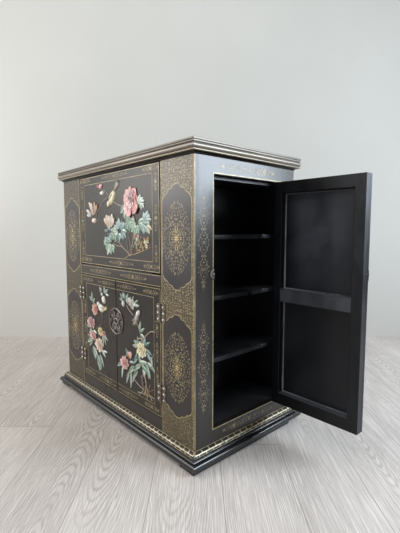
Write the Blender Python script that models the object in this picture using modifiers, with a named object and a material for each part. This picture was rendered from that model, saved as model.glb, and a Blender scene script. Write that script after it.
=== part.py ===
"""Chinoiserie bar cabinet in dark lacquer, at real size in metres, as it stands in the photograph.

The front looks along -Y and +Z is up. The frame starts on the floor under the middle of the body.
The right-hand side door stands open, square to the side. The fall flap, the pair of front doors and
the left-hand side door are shut.
"""

import math

import bmesh
import bpy
from mathutils import Vector

# Body without its mouldings, and the base under it.
BODY_W = 0.947
BODY_D = 0.507
BODY_H = 0.930
BASE_H = 0.058

# Stock thicknesses, and the hairline left between fixed pieces.
BOARD = 0.020
WALL = 0.018
SHELF_T = 0.016
FIT = 0.0003
EASE = 0.0010

# Front: pilasters at both ends, flap over frieze rail over a pair of doors over bottom rail.
PILASTER_W = 0.1705
POST_W = 0.050
POST_T = 0.022
BOTTOM_RAIL_H = 0.0445
FRONT_DOOR_H = 0.4585
FRIEZE_H = 0.0425
LEAF_GAP = 0.0025
FLAP_END_GAP = 0.0042

# Side openings, measured from the body's front, back, bottom and top.
FRONT_STILE_W = 0.0822
REAR_STILE_W = 0.0785
SILL_H = 0.048
HEAD_H = 0.052
HINGE_GAP = 0.005
FREE_GAP = 0.0031

# Side doors: a board with a deep frame behind it that leaves two recesses.
SIDE_DOOR_T = 0.037
SIDE_BOARD_T = 0.011
HINGE_STILE_W = 0.031
LOCK_STILE_W = 0.036
TOP_RAIL_H = 0.041
MID_RAIL_H = 0.047
BOTTOM_RAIL_W = 0.043
MID_RAIL_SHARE = 0.473
PIN_PROUD = 0.0015

# Inside: floor, ceiling and shelf levels as shares of the height between them.
FLOOR_RISE = 0.0475
CEILING_DROP = 0.062
SHELF_LEVELS = (0.267, 0.529, 0.780)
PARTITION_OUT = 0.2027

# Base and cornice sections, with how far they reach out of the body, and the runners under the base.
BASE_OUT = 0.0352
BASE_CLEAR = 0.0100
STEP_H = 0.0098
FRET_OUT = 0.0165
FRET_H = 0.0160
CORNICE_OUT = 0.0205
CORNICE_H = 0.044
MOULDING_IN = 0.030
RUNNER_OUT = 0.0262
RUNNER_W = 0.070
RUNNER_SHORT = 0.034

# Metalwork.
SIDE_HINGE_L = 0.060
SIDE_PIN_R = 0.0021
FRONT_HINGE_L = 0.066
FRONT_HINGE_REACH = 0.0265
FRONT_PIN_R = 0.0032
FRONT_PIN_PROUD = 0.0036
FLAP_HINGE_KNUCKLES = 9
FLAP_PIN_PROUD = 0.0005
LEAF_T = 0.0012
MEDALLION_R = 0.055
MEDALLION_LEVEL = 0.340
SIDE_PLATE_R = 0.017
SIDE_PLATE_LEVEL = 0.561

# Stone overlay: thickest part, and the panel that the layout below was drawn on.
STONE_T = 0.008
DRAWN_LEAF_W = 0.2993
DRAWN_FLAP_H = 0.3720

HW = BODY_W / 2
FRONT = -BODY_D / 2
BACK = BODY_D / 2
BOTTOM = BASE_H
TOP = BASE_H + BODY_H
BEHIND = FRONT + BOARD + FIT
BACK_IN = BACK - WALL - FIT
PILASTER_X = HW - PILASTER_W
WALL_X = HW - PARTITION_OUT
FLOOR_TOP = BOTTOM + FLOOR_RISE
CEILING = TOP - CEILING_DROP
DOOR_Z0 = BOTTOM + BOTTOM_RAIL_H + LEAF_GAP
DOOR_Z1 = DOOR_Z0 + FRONT_DOOR_H
FRIEZE_Z0 = DOOR_Z1 + LEAF_GAP
FRIEZE_Z1 = FRIEZE_Z0 + FRIEZE_H
FLAP_PIN_Z = FRIEZE_Z1 + LEAF_GAP
FLAP_Z0 = FLAP_PIN_Z + LEAF_GAP
FLAP_Z1 = TOP - LEAF_GAP
LEAF_X = PILASTER_X - LEAF_GAP
FLAP_X = PILASTER_X - FLAP_END_GAP
OPEN_Y0 = FRONT + FRONT_STILE_W
OPEN_Y1 = BACK - REAR_STILE_W
OPEN_Z0 = BOTTOM + SILL_H
OPEN_Z1 = TOP - HEAD_H
PIN_Y = OPEN_Y1 - HINGE_GAP / 2
SIDE_S0 = HINGE_GAP / 2
SIDE_S1 = PIN_Y - OPEN_Y0 - FREE_GAP
SIDE_Z0 = OPEN_Z0 + FREE_GAP
SIDE_Z1 = OPEN_Z1 - LEAF_GAP
SHELF_X = HW - SIDE_DOOR_T - LEAF_GAP

for old in list(bpy.data.objects):
    bpy.data.objects.remove(old, do_unlink=True)

parts = bpy.data.collections.new("bar_cabinet")
cutters = bpy.data.collections.new("joining_tools")
for holder in (parts, cutters):
    bpy.context.scene.collection.children.link(holder)


def material(name, colour, roughness, metallic=0.0):
    made = bpy.data.materials.new(name)
    made.use_nodes = True
    shader = made.node_tree.nodes["Principled BSDF"]
    shader.inputs["Base Color"].default_value = (*colour, 1.0)
    shader.inputs["Roughness"].default_value = roughness
    shader.inputs["Metallic"].default_value = metallic
    return made


LACQUER = material("dark_lacquer", (0.020, 0.016, 0.014), 0.30)
DIAPER = material("gold_diaper_lacquer", (0.090, 0.062, 0.028), 0.40)
INSIDE = material("black_satin_lacquer", (0.008, 0.008, 0.010), 0.35)
GILT = material("rubbed_gilt_moulding", (0.200, 0.140, 0.080), 0.38, 0.3)
BLACK_GLOSS = material("black_gloss_lacquer", (0.010, 0.010, 0.012), 0.15)
BRONZE = material("dark_bronze", (0.110, 0.085, 0.065), 0.40, 0.9)
BRASS = material("worn_brass", (0.480, 0.350, 0.150), 0.35, 1.0)
STEEL = material("bright_steel", (0.700, 0.700, 0.720), 0.20, 1.0)


def add(name, mesh, finish, pivot=None, ease=0.0):
    """Puts a mesh in world coordinates into the parts, its origin on the joint axis where it has one."""
    working = bmesh.new()
    working.from_mesh(mesh)
    bmesh.ops.recalc_face_normals(working, faces=working.faces)
    working.to_mesh(mesh)
    working.free()
    mesh.materials.append(finish)
    obj = bpy.data.objects.new(name, mesh)
    parts.objects.link(obj)
    if pivot is not None:
        for vertex in mesh.vertices:
            vertex.co -= Vector(pivot)
        obj.location = pivot
    if ease:
        softened = obj.modifiers.new("eased_edges", "BEVEL")
        softened.width = ease
        softened.segments = 2
        softened.limit_method = "ANGLE"
    return obj


def combine(obj, solids, operation, own_overlaps=False):
    """Joins closed solids to a part or cuts them out of it, from a hidden tool in the same place."""
    finish = obj.data.materials[0]
    tool = add(obj.name + "_" + operation.lower(), solids_mesh(obj.name, solids), finish, obj.location.copy())
    parts.objects.unlink(tool)
    cutters.objects.link(tool)
    tool.hide_render = True
    tool.display_type = "WIRE"
    step = obj.modifiers.new(operation.lower(), "BOOLEAN")
    step.operation = operation
    step.solver = "EXACT"
    step.use_self = own_overlaps
    step.object = tool
    return obj


def solids_mesh(name, solids):
    """One mesh from closed solids, each given as (points, faces)."""
    points = []
    faces = []
    for solid_points, solid_faces in solids:
        start = len(points)
        points.extend(solid_points)
        faces.extend([[start + i for i in face] for face in solid_faces])
    mesh = bpy.data.meshes.new(name)
    mesh.from_pydata([tuple(p) for p in points], [], faces)
    mesh.update()
    return mesh


def block(x0, x1, y0, y1, z0, z1):
    points = [(x, y, z) for x in (x0, x1) for y in (y0, y1) for z in (z0, z1)]
    faces = [(0, 1, 3, 2), (4, 6, 7, 5), (0, 4, 5, 1), (2, 3, 7, 6), (0, 2, 6, 4), (1, 5, 7, 3)]
    return points, faces


def prism(outline, place, low, high):
    """A flat outline of (u, v) points, as thick as from low to high, set in the world by place(u, v, w)."""
    count = len(outline)
    points = [place(u, v, low) for u, v in outline] + [place(u, v, high) for u, v in outline]
    faces = [list(range(count)), list(range(2 * count - 1, count - 1, -1))]
    for i in range(count):
        j = (i + 1) % count
        faces.append([i, j, count + j, count + i])
    return points, faces


def rod(place, start, end, radius, sides=20):
    turns = [2 * math.pi * i / sides for i in range(sides)]
    return prism([(radius * math.cos(a), radius * math.sin(a)) for a in turns], place, start, end)


def board(name, sizes, finish, pivot=None, ease=0.0):
    return add(name, solids_mesh(name, [block(*sizes)]), finish, pivot, ease)


def moulding(name, section, finish):
    """Moulding mitred round the body, from section points (reach out of the body, height)."""
    count = len(section)
    points = []
    for kx, ky in ((-1, -1), (1, -1), (1, 1), (-1, 1)):
        points.extend((kx * (HW + reach), ky * (BACK + reach), height) for reach, height in section)
    faces = []
    for corner in range(4):
        here = corner * count
        there = (corner + 1) % 4 * count
        for i in range(count):
            j = (i + 1) % count
            faces.append([here + i, here + j, there + j, there + i])
    return add(name, solids_mesh(name, [(points, faces)]), finish)


def arc(centre, radii, start, end, steps):
    """Points of an ellipse arc in a section, angles in degrees."""
    swept = [math.radians(start + (end - start) * i / steps) for i in range(steps + 1)]
    return [(centre[0] + radii[0] * math.cos(a), centre[1] + radii[1] * math.sin(a)) for a in swept]


# Plinth: a recessed frame with a middle stretcher that carries the floor board, on a runner at each end.
PLINTH_X = HW - MOULDING_IN - FIT
PLINTH_Y = BACK - MOULDING_IN - FIT
PLINTH_TOP = FLOOR_TOP - WALL - FIT
STRETCHER_X = 3 * BOARD
plinth = board("plinth", (-PLINTH_X, PLINTH_X, -PLINTH_Y, PLINTH_Y, 0.0, PLINTH_TOP), INSIDE)
combine(plinth, [
    block(-PLINTH_X + BOARD, -STRETCHER_X, -PLINTH_Y + BOARD, PLINTH_Y - BOARD, -BOARD, PLINTH_TOP + BOARD),
    block(STRETCHER_X, PLINTH_X - BOARD, -PLINTH_Y + BOARD, PLINTH_Y - BOARD, -BOARD, PLINTH_TOP + BOARD),
], "DIFFERENCE")
RUNNER_X = HW + RUNNER_OUT
runners = []
for sign in (-1, 1):
    x_in, x_out = sorted((sign * (RUNNER_X - RUNNER_W), sign * RUNNER_X))
    runners.append(block(x_in, x_out, FRONT - RUNNER_OUT, BACK - RUNNER_SHORT, 0.0, BASE_CLEAR - FIT))
combine(plinth, runners, "UNION")

# Base moulding: a black half-round under a hollow and a thin bead, mitred at the corners.
ROUND_H = BASE_H - FRET_H - BASE_CLEAR - STEP_H
ROUND_MID = BASE_CLEAR + ROUND_H / 2
ROUND_FLAT = BASE_OUT - ROUND_H / 2 * 0.80
STEP_Z = BASE_CLEAR + ROUND_H
STEP_TOP = BASE_H - FRET_H - FIT
half_round = arc((ROUND_FLAT, ROUND_MID), (BASE_OUT - ROUND_FLAT, ROUND_H / 2), -90, 90, 10)
hollow = [(FRET_OUT + 0.0042, STEP_Z + STEP_H * 0.12), (FRET_OUT + 0.0024, STEP_Z + STEP_H * 0.37),
          (FRET_OUT + 0.0030, STEP_Z + STEP_H * 0.57)]
bead = [(FRET_OUT + 0.0046, STEP_Z + STEP_H * 0.65), (FRET_OUT + 0.0046, STEP_Z + STEP_H * 0.82),
        (FRET_OUT + 0.0022, STEP_TOP)]
section = [(-MOULDING_IN, BASE_CLEAR)] + half_round + hollow + bead + [(-MOULDING_IN, STEP_TOP)]
moulding("base_moulding", section, BLACK_GLOSS)

# Fret band: a quarter-round above the half-round, carrying the gilt block pattern.
BAND_Z = BASE_H - FRET_H
quarter_round = arc((0.0010, BAND_Z + 0.0012), (FRET_OUT - 0.0010, FRET_H - 0.0012 - FIT), 0, 90, 6)
section = [(-MOULDING_IN, BAND_Z), (FRET_OUT, BAND_Z)] + quarter_round + [(-MOULDING_IN, BASE_H - FIT)]
moulding("base_fret_band", section, GILT)

# Floor board, ceiling board notched for the shut side doors, partitions and bar deck.
CARCASS_X = HW - BOARD - FIT
board("floor_board", (-CARCASS_X, CARCASS_X, BEHIND, BACK_IN, FLOOR_TOP - WALL, FLOOR_TOP), INSIDE)
right_edge = [(CARCASS_X, BEHIND), (CARCASS_X, OPEN_Y0 - LEAF_GAP), (SHELF_X, OPEN_Y0 - LEAF_GAP),
              (SHELF_X, OPEN_Y1 + LEAF_GAP), (CARCASS_X, OPEN_Y1 + LEAF_GAP), (CARCASS_X, BACK_IN)]
outline = right_edge + [(-x, y) for x, y in reversed(right_edge)]
ceiling = prism(outline, lambda u, v, w: (u, v, w), CEILING, CEILING + WALL)
add("ceiling_board", solids_mesh("ceiling_board", [ceiling]), INSIDE)
for side, sign in (("left", -1), ("right", 1)):
    x_in, x_out = sorted((sign * (WALL_X - WALL), sign * WALL_X))
    board(side + "_partition", (x_in, x_out, BEHIND, BACK_IN, FLOOR_TOP + FIT, CEILING - FIT), INSIDE)
DECK_X = WALL_X - WALL - FIT
board("bar_deck", (-DECK_X, DECK_X, BEHIND, BACK_IN, FRIEZE_Z1 - WALL, FRIEZE_Z1 - FIT), INSIDE)

# Back board, let in between the side frames.
board("back_board", (-CARCASS_X, CARCASS_X, BACK - WALL, BACK, BOTTOM, TOP - FIT), INSIDE)

# Front posts behind the joints between pilasters and leaves: they carry the pilasters and stop the leaves.
POST_X = WALL_X + FIT
for side, sign in (("left", -1), ("right", 1)):
    x_in, x_out = sorted((sign * POST_X, sign * (POST_X + POST_W)))
    sizes = (x_in, x_out, BEHIND, BEHIND + POST_T, FLOOR_TOP + FIT, CEILING - FIT)
    board(side + "_front_post", sizes, INSIDE)

# Pilasters: the broad end boards of the front.
for side, sign in (("left", -1), ("right", 1)):
    x_in, x_out = sorted((sign * PILASTER_X, sign * HW))
    board(side + "_pilaster", (x_in, x_out, FRONT, FRONT + BOARD, BOTTOM, TOP - FIT), DIAPER, ease=EASE)

# Fixed rails of the front's middle bay, and the head rail that the flap shuts against.
RAIL_X = PILASTER_X - FIT
HEAD_X = POST_X + POST_W
BOTTOM_RAIL_Z1 = BOTTOM + BOTTOM_RAIL_H
board("bottom_rail", (-RAIL_X, RAIL_X, FRONT, FRONT + BOARD, BOTTOM, BOTTOM_RAIL_Z1), LACQUER, ease=EASE)
board("frieze_rail", (-RAIL_X, RAIL_X, FRONT, FRONT + BOARD, FRIEZE_Z0, FRIEZE_Z1), LACQUER, ease=EASE)
board("head_rail", (-HEAD_X, HEAD_X, BEHIND, BEHIND + POST_T, CEILING + WALL + FIT, TOP - FIT), INSIDE)

# Side frames: stiles and rails round each side door's opening.
for side, sign in (("left", -1), ("right", 1)):
    x_in, x_out = sorted((sign * (HW - BOARD), sign * HW))
    frame = board(side + "_side_frame", (x_in, x_out, BEHIND, BACK, BOTTOM, TOP - FIT), LACQUER)
    combine(frame, [block(x_in - BOARD, x_out + BOARD, OPEN_Y0, OPEN_Y1, OPEN_Z0, OPEN_Z1)], "DIFFERENCE")

# Cornice: a cove, a bead, a bold half-round and two thin steps, mitred at the corners, round the top board.
CORNICE_Z = TOP + CORNICE_H
cove = [(0.0020, TOP), (0.0040, TOP + 0.0042), (0.0100, TOP + 0.0066)]
bead = arc((CORNICE_OUT - 0.0075, TOP + 0.0100), (0.0048, 0.0034), -90, 80, 5)
half_round = arc((CORNICE_OUT - 0.0080, TOP + 0.0220), (0.0080, 0.0080), -80, 80, 8)
steps = [(CORNICE_OUT - 0.0040, TOP + 0.0312), (CORNICE_OUT - 0.0024, TOP + 0.0320),
         (CORNICE_OUT - 0.0024, TOP + 0.0362), (CORNICE_OUT - 0.0042, TOP + 0.0372),
         (CORNICE_OUT - 0.0012, TOP + 0.0384), (CORNICE_OUT - 0.0012, CORNICE_Z - 0.0012),
         (CORNICE_OUT - 0.0030, CORNICE_Z)]
section = [(-MOULDING_IN, TOP)] + cove + bead + half_round + steps + [(-MOULDING_IN, CORNICE_Z)]
moulding("cornice_moulding", section, GILT)
LID_X = HW - MOULDING_IN - FIT
LID_Y = BACK - MOULDING_IN - FIT
board("top_board", (-LID_X, LID_X, -LID_Y, LID_Y, TOP, CORNICE_Z - EASE), LACQUER)

# Side shelves, notched round the front post, standing clear of the shut door.
SHELF_RUN = CEILING - FLOOR_TOP
for side, sign in (("left", -1), ("right", 1)):
    notch_x = POST_X + POST_W + FIT
    notch_y = BEHIND + POST_T + FIT
    outline = [(POST_X, notch_y), (notch_x, notch_y), (notch_x, BEHIND), (SHELF_X, BEHIND),
               (SHELF_X, BACK_IN), (POST_X, BACK_IN)]
    for level, share in zip(("lower", "middle", "upper"), SHELF_LEVELS):
        top = FLOOR_TOP + SHELF_RUN * share
        name = side + "_shelf_" + level
        solid = prism(outline, lambda u, v, w, k=sign: (k * u, v, w), top - SHELF_T, top)
        add(name, solids_mesh(name, [solid]), INSIDE)


def side_place(sign):
    """Side door coordinates to world: s from the pin along the width, n inward from the outer face."""
    if sign > 0:
        return lambda s, n, z: (HW + PIN_PROUD + s, PIN_Y - PIN_PROUD - n, z)
    return lambda s, n, z: (-HW + n, PIN_Y - s, z)


def side_block(place, s0, s1, n0, n1, z0, z1):
    """A block of a side door as (x0, x1, y0, y1, z0, z1)."""
    spans = [sorted(pair) for pair in zip(place(s0, n0, z0), place(s1, n1, z1))]
    return [value for span in spans for value in span]


def comb_outline(length, reach, clear, spans, scallop=0.0):
    """Leaf outline as (t along the pin, u away from it): it meets the pin at its own knuckles only."""
    outline = []
    edge = 0.0
    for start, end in spans:
        if start > edge:
            outline += [(edge, clear), (start, clear)]
        outline += [(start, 0.0), (end, 0.0)]
        edge = end
    if edge < length:
        outline += [(edge, clear), (length, clear)]
    steps = 18 if scallop else 1
    for i in range(steps + 1):
        share = 1 - i / steps
        wave = scallop * (1 - abs(math.sin(3 * math.pi * share)))
        outline.append((length * share, reach - wave))
    return outline


def hinge_leaf(name, place, length, reach, face0, face1, radius, spans, finish, pivot=None, scallop=0.0):
    """A hinge leaf with its knuckles, set by place(t along the pin, u away from it, w across the leaf)."""
    outline = comb_outline(length, reach, radius + 2 * FIT, spans, scallop)
    leaf = add(name, solids_mesh(name, [prism(outline, place, face0, face1)]), finish, pivot)
    rods = [rod(lambda u, v, t: place(t, u, v), start, end, radius) for start, end in spans]
    return combine(leaf, rods, "UNION")


def knuckles(length, count, mine):
    """Spans of every second knuckle, with a hairline between neighbours."""
    pitch = length / count
    spans = []
    for i in range(mine, count, 2):
        low = i * pitch + (FIT if i > 0 else 0.0)
        high = (i + 1) * pitch - (FIT if i < count - 1 else 0.0)
        spans.append((low, high))
    return spans


def half_disc(place, section, steps):
    """Half of a turned plate: section points (radius, height) swept half a turn, set by place(a, b, h)."""
    count = len(section)
    points = []
    for i in range(steps + 1):
        angle = -math.pi / 2 + math.pi * i / steps
        points.extend(place(r * math.cos(angle), r * math.sin(angle), h) for r, h in section)
    faces = [list(range(count)), list(range((steps + 1) * count - 1, steps * count - 1, -1))]
    for i in range(steps):
        for j in range(count):
            k = (j + 1) % count
            faces.append([i * count + j, i * count + k, (i + 1) * count + k, (i + 1) * count + j])
    return points, faces


def welded(mesh):
    """Closes the seam of a turned plate where its section runs along the axis."""
    working = bmesh.new()
    working.from_mesh(mesh)
    bmesh.ops.remove_doubles(working, verts=working.verts, dist=0.00005)
    bmesh.ops.dissolve_degenerate(working, edges=working.edges, dist=0.00005)
    working.to_mesh(mesh)
    working.free()
    return mesh


# Side doors. Each is an outer board with a deep frame behind it, on two butt hinges at its rear edge,
# with half a round lock plate on its face and a ball catch in its free edge.
RAIL_S0 = SIDE_S0 + HINGE_STILE_W
RAIL_S1 = SIDE_S1 - LOCK_STILE_W
MID_Z = SIDE_Z0 + (SIDE_Z1 - SIDE_Z0) * MID_RAIL_SHARE
HINGE_LEVELS = (SIDE_Z0 + 0.085, SIDE_Z1 - 0.085 - SIDE_HINGE_L)
PLATE_Z = BOTTOM + SIDE_PLATE_LEVEL
PLATE_SECTION = [(0.0, FIT), (SIDE_PLATE_R, FIT), (SIDE_PLATE_R, 0.0020), (SIDE_PLATE_R - 0.0020, 0.0032),
                 (SIDE_PLATE_R * 0.5, 0.0026), (SIDE_PLATE_R * 0.35, 0.0046), (0.0, 0.0048)]
for side, sign in (("left", -1), ("right", 1)):
    place = side_place(sign)
    pin = (sign * (HW + PIN_PROUD), PIN_Y, SIDE_Z0)
    outer = side_block(place, SIDE_S0, SIDE_S1, 0.0, SIDE_BOARD_T - FIT, SIDE_Z0, SIDE_Z1)
    board(side + "_side_door_board", outer, LACQUER, pin, EASE)
    deep = side_block(place, SIDE_S0, SIDE_S1, SIDE_BOARD_T, SIDE_DOOR_T, SIDE_Z0, SIDE_Z1)
    frame = board(side + "_side_door_frame", deep, INSIDE, pin)
    recesses = []
    for low, high in ((SIDE_Z0 + BOTTOM_RAIL_W, MID_Z), (MID_Z + MID_RAIL_H, SIDE_Z1 - TOP_RAIL_H)):
        recesses.append(block(*side_block(place, RAIL_S0, RAIL_S1, 0.0, SIDE_DOOR_T + BOARD, low, high)))
    combine(frame, recesses, "DIFFERENCE")
    leaf_in = SIDE_S0 - FIT
    for level, height in zip(("lower", "upper"), HINGE_LEVELS):
        hinge_leaf(side + "_side_hinge_" + level + "_fixed",
            lambda t, u, w, k=sign, z=height: (k * (HW + PIN_PROUD - u), PIN_Y + w, z + t),
            SIDE_HINGE_L, BOARD, leaf_in - LEAF_T, leaf_in, SIDE_PIN_R,
            knuckles(SIDE_HINGE_L, 3, 0), BRASS)
        hinge_leaf(side + "_side_hinge_" + level + "_moving",
            lambda t, u, w, f=place, z=height: f(w, u - PIN_PROUD, z + t),
            SIDE_HINGE_L, BOARD, leaf_in - LEAF_T, leaf_in, SIDE_PIN_R,
            knuckles(SIDE_HINGE_L, 3, 1), BRASS, pin)
    plate_place = lambda a, b, h, f=place: f(SIDE_S1 - FIT - a, -h, PLATE_Z + b)
    name = side + "_side_door_plate"
    add(name, welded(solids_mesh(name, [half_disc(plate_place, PLATE_SECTION, 12)])), BRONZE, pin)
    plate_place = lambda a, b, h, k=sign: (k * (HW + h), OPEN_Y0 - FIT - a, PLATE_Z + b)
    name = side + "_stile_plate"
    add(name, welded(solids_mesh(name, [half_disc(plate_place, PLATE_SECTION, 12)])), BRONZE)
    catch_place = lambda u, v, w, f=place: f(SIDE_S1 + w, SIDE_DOOR_T * 0.43 + u, PLATE_Z + 0.007 + v)
    name = side + "_side_door_catch"
    add(name, solids_mesh(name, [rod(catch_place, FIT, 0.0014, 0.003, 14)]), STEEL, pin)

# Fall flap on a long hinge along its foot.
FLAP_PIN = (0.0, FRONT - FLAP_PIN_PROUD, FLAP_PIN_Z)
flap = board("flap", (-FLAP_X, FLAP_X, FRONT, FRONT + BOARD, FLAP_Z0, FLAP_Z1), LACQUER, FLAP_PIN, EASE)
FLAP_HINGE_X = DECK_X
leaf_in = LEAF_GAP - FIT
hinge_leaf("flap_hinge_fixed", lambda t, u, w: (t - FLAP_HINGE_X, FLAP_PIN[1] + u, FLAP_PIN_Z - w),
    2 * FLAP_HINGE_X, BOARD * 0.8, leaf_in - LEAF_T, leaf_in, SIDE_PIN_R,
    knuckles(2 * FLAP_HINGE_X, FLAP_HINGE_KNUCKLES, 0), BRONZE)
hinge_leaf("flap_hinge_moving", lambda t, u, w: (t - FLAP_HINGE_X, FLAP_PIN[1] + u, FLAP_PIN_Z + w),
    2 * FLAP_HINGE_X, BOARD * 0.8, leaf_in - LEAF_T, leaf_in, SIDE_PIN_R,
    knuckles(2 * FLAP_HINGE_X, FLAP_HINGE_KNUCKLES, 1), BRONZE, FLAP_PIN)

# Pair of front doors on face hinges, with a round medallion split between them.
FRONT_PIN_X = PILASTER_X - LEAF_GAP / 2
FRONT_PIN_Y = FRONT - FRONT_PIN_PROUD
MEDALLION_Z = BOTTOM + MEDALLION_LEVEL
MEDALLION_SECTION = [(0.0, FIT), (MEDALLION_R, FIT), (MEDALLION_R, 0.0022),
                     (MEDALLION_R - 0.0025, 0.0044), (MEDALLION_R - 0.0060, 0.0044),
                     (MEDALLION_R - 0.0078, 0.0024), (MEDALLION_R * 0.36, 0.0024),
                     (MEDALLION_R * 0.32, 0.0052), (0.0, 0.0056)]
FRONT_HINGE_LEVELS = (DOOR_Z0 + 0.057, DOOR_Z1 - 0.052 - FRONT_HINGE_L)
leaf_near = FRONT_PIN_PROUD - FIT
for side, sign in (("left", -1), ("right", 1)):
    pin = (sign * FRONT_PIN_X, FRONT_PIN_Y, DOOR_Z0)
    x_in, x_out = sorted((sign * LEAF_GAP / 2, sign * LEAF_X))
    board(side + "_front_door", (x_in, x_out, FRONT, FRONT + BOARD, DOOR_Z0, DOOR_Z1), LACQUER, pin, EASE)
    disc_place = lambda a, b, h, k=sign: (k * (LEAF_GAP / 2 + a), FRONT - h, MEDALLION_Z + b)
    name = side + "_medallion_half"
    add(name, welded(solids_mesh(name, [half_disc(disc_place, MEDALLION_SECTION, 18)])), BRONZE, pin)
    for level, height in zip(("lower", "upper"), FRONT_HINGE_LEVELS):
        hinge_leaf(side + "_front_hinge_" + level + "_fixed",
            lambda t, u, w, k=sign, z=height: (k * (FRONT_PIN_X + u), FRONT_PIN_Y + w, z + t),
            FRONT_HINGE_L, FRONT_HINGE_REACH, leaf_near - 1.5 * LEAF_T, leaf_near, FRONT_PIN_R,
            knuckles(FRONT_HINGE_L, 3, 0), BRONZE, None, 0.007)
        hinge_leaf(side + "_front_hinge_" + level + "_moving",
            lambda t, u, w, k=sign, z=height: (k * (FRONT_PIN_X - u), FRONT_PIN_Y + w, z + t),
            FRONT_HINGE_L, FRONT_HINGE_REACH, leaf_near - 1.5 * LEAF_T, leaf_near, FRONT_PIN_R,
            knuckles(FRONT_HINGE_L, 3, 1), BRONZE, pin, 0.007)


class Overlay:
    """Carved stones glued to one leaf's face, placed in metres on the leaf as drawn and scaled with it."""

    def __init__(self, across, up, centre_x, foot_z):
        self.across = across
        self.up = up
        self.size = min(across, up)
        self.centre_x = centre_x
        self.foot_z = foot_z
        self.solids = []

    def stone(self, x, z, outline, height):
        """A domed stone: a low wall round the outline, a shoulder inside it and a crown."""
        x = self.centre_x + x * self.across
        z = self.foot_z + z * self.up
        points = []
        for share, rise in ((1.0, -EASE), (1.0, height * 0.45), (0.62, height * 0.90)):
            grow = share * self.size
            points.extend((x + u * grow, FRONT - rise, z + v * grow) for u, v in outline)
        points.append((x, FRONT - height, z))
        count = len(outline)
        faces = [list(range(count))]
        for low in (0, count):
            high = low + count
            for i in range(count):
                j = (i + 1) % count
                faces.append([low + i, low + j, high + j, high + i])
        for i in range(count):
            faces.append([2 * count + i, 2 * count + (i + 1) % count, 3 * count])
        self.solids.append((points, faces))

    def turned(self, outline, angle):
        c = math.cos(math.radians(angle))
        s = math.sin(math.radians(angle))
        return [(u * c - v * s, u * s + v * c) for u, v in outline]

    def oval(self, x, z, length, width, angle=0.0, height=STONE_T * 0.8, sides=10):
        turns = [2 * math.pi * i / sides for i in range(sides)]
        outline = [(length / 2 * math.cos(a), width / 2 * math.sin(a)) for a in turns]
        self.stone(x, z, self.turned(outline, angle), height)

    def leaf(self, x, z, length, width, angle, height=STONE_T * 0.45):
        """A pointed leaf, broadest nearer its stalk."""
        edge = [(-0.5, 0.0), (-0.30, 0.36), (-0.02, 0.50), (0.28, 0.30), (0.5, 0.0)]
        both = edge + [(u, -v) for u, v in reversed(edge[1:-1])]
        self.stone(x, z, self.turned([(u * length, v * width) for u, v in both], angle), height)

    def bloom(self, x, z, radius, petals=6, angle=0.0, flat=1.0):
        """A full flower: a domed heart and a ring of separate petals round it."""
        self.oval(x, z, radius * 0.84, radius * 0.84 * flat, 0.0, STONE_T, 8)
        edge = ((0.47, -0.9), (0.80, -1.0), (0.97, -0.6), (1.0, 0.0), (0.97, 0.6), (0.80, 1.0), (0.47, 0.9))
        for i in range(petals):
            middle = math.radians(angle + 360 * i / petals)
            outline = []
            for reach, share in edge:
                a = middle + math.pi / petals * 0.90 * share
                outline.append((radius * reach * math.cos(a), radius * reach * flat * math.sin(a)))
            mid_u = sum(u for u, v in outline) / len(outline)
            mid_v = sum(v for u, v in outline) / len(outline)
            self.stone(x + mid_u * self.size / self.across, z + mid_v * self.size / self.up,
                [(u - mid_u, v - mid_v) for u, v in outline], STONE_T * 0.75)

    def stem(self, course, width=0.0045):
        """A branch: straight lengths between the given places, each a low rounded bar."""
        for (x0, z0), (x1, z1) in zip(course, course[1:]):
            length = math.hypot(x1 - x0, z1 - z0)
            angle = math.degrees(math.atan2(z1 - z0, x1 - x0))
            half = length / 2 - width * 0.12
            bar = [(-half, -width / 2), (half, -width / 2), (half, width / 2), (-half, width / 2)]
            self.stone((x0 + x1) / 2, (z0 + z1) / 2, self.turned(bar, angle), STONE_T * 0.35)

    def finish(self, leaf):
        return combine(leaf, self.solids, "UNION", True)


# Flap: peony and leaves at the right, bird on a branch, blossom at the left, roots and leaves along the foot.
work = Overlay(FLAP_X / (DRAWN_LEAF_W + LEAF_GAP / 2), (FLAP_Z1 - FLAP_Z0) / DRAWN_FLAP_H, 0.0, FLAP_Z0)
work.bloom(0.124, 0.252, 0.050, 7, 12)
work.leaf(0.198, 0.252, 0.044, 0.030, 20)
work.leaf(0.062, 0.206, 0.040, 0.026, 70)
work.leaf(0.226, 0.192, 0.044, 0.034, 30)
work.leaf(0.196, 0.158, 0.048, 0.030, -25)
work.leaf(0.238, 0.146, 0.034, 0.020, -10)
work.leaf(0.112, 0.176, 0.040, 0.026, 80)
work.leaf(0.140, 0.156, 0.052, 0.022, 15)
work.leaf(0.082, 0.146, 0.044, 0.022, 10)
work.leaf(0.042, 0.164, 0.036, 0.026, 95)
work.leaf(0.032, 0.128, 0.046, 0.030, -12)
work.leaf(-0.014, 0.130, 0.042, 0.026, 25)
work.leaf(-0.046, 0.112, 0.034, 0.022, 60)
work.leaf(-0.084, 0.098, 0.040, 0.028, 110)
work.leaf(-0.032, 0.086, 0.038, 0.024, 15)
work.leaf(-0.058, 0.070, 0.044, 0.026, -105)
work.oval(-0.065, 0.184, 0.030, 0.038, 15)
work.oval(-0.035, 0.186, 0.026, 0.044, -5)
work.oval(-0.010, 0.186, 0.020, 0.040, -15)
work.oval(-0.008, 0.278, 0.056, 0.036, 40, STONE_T)
work.oval(-0.040, 0.252, 0.030, 0.020, 25)
work.leaf(0.026, 0.314, 0.050, 0.012, 55)
work.oval(-0.104, 0.326, 0.028, 0.020, -20)
work.oval(-0.094, 0.299, 0.032, 0.016, 0)
work.oval(-0.204, 0.246, 0.034, 0.024, 110)
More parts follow.
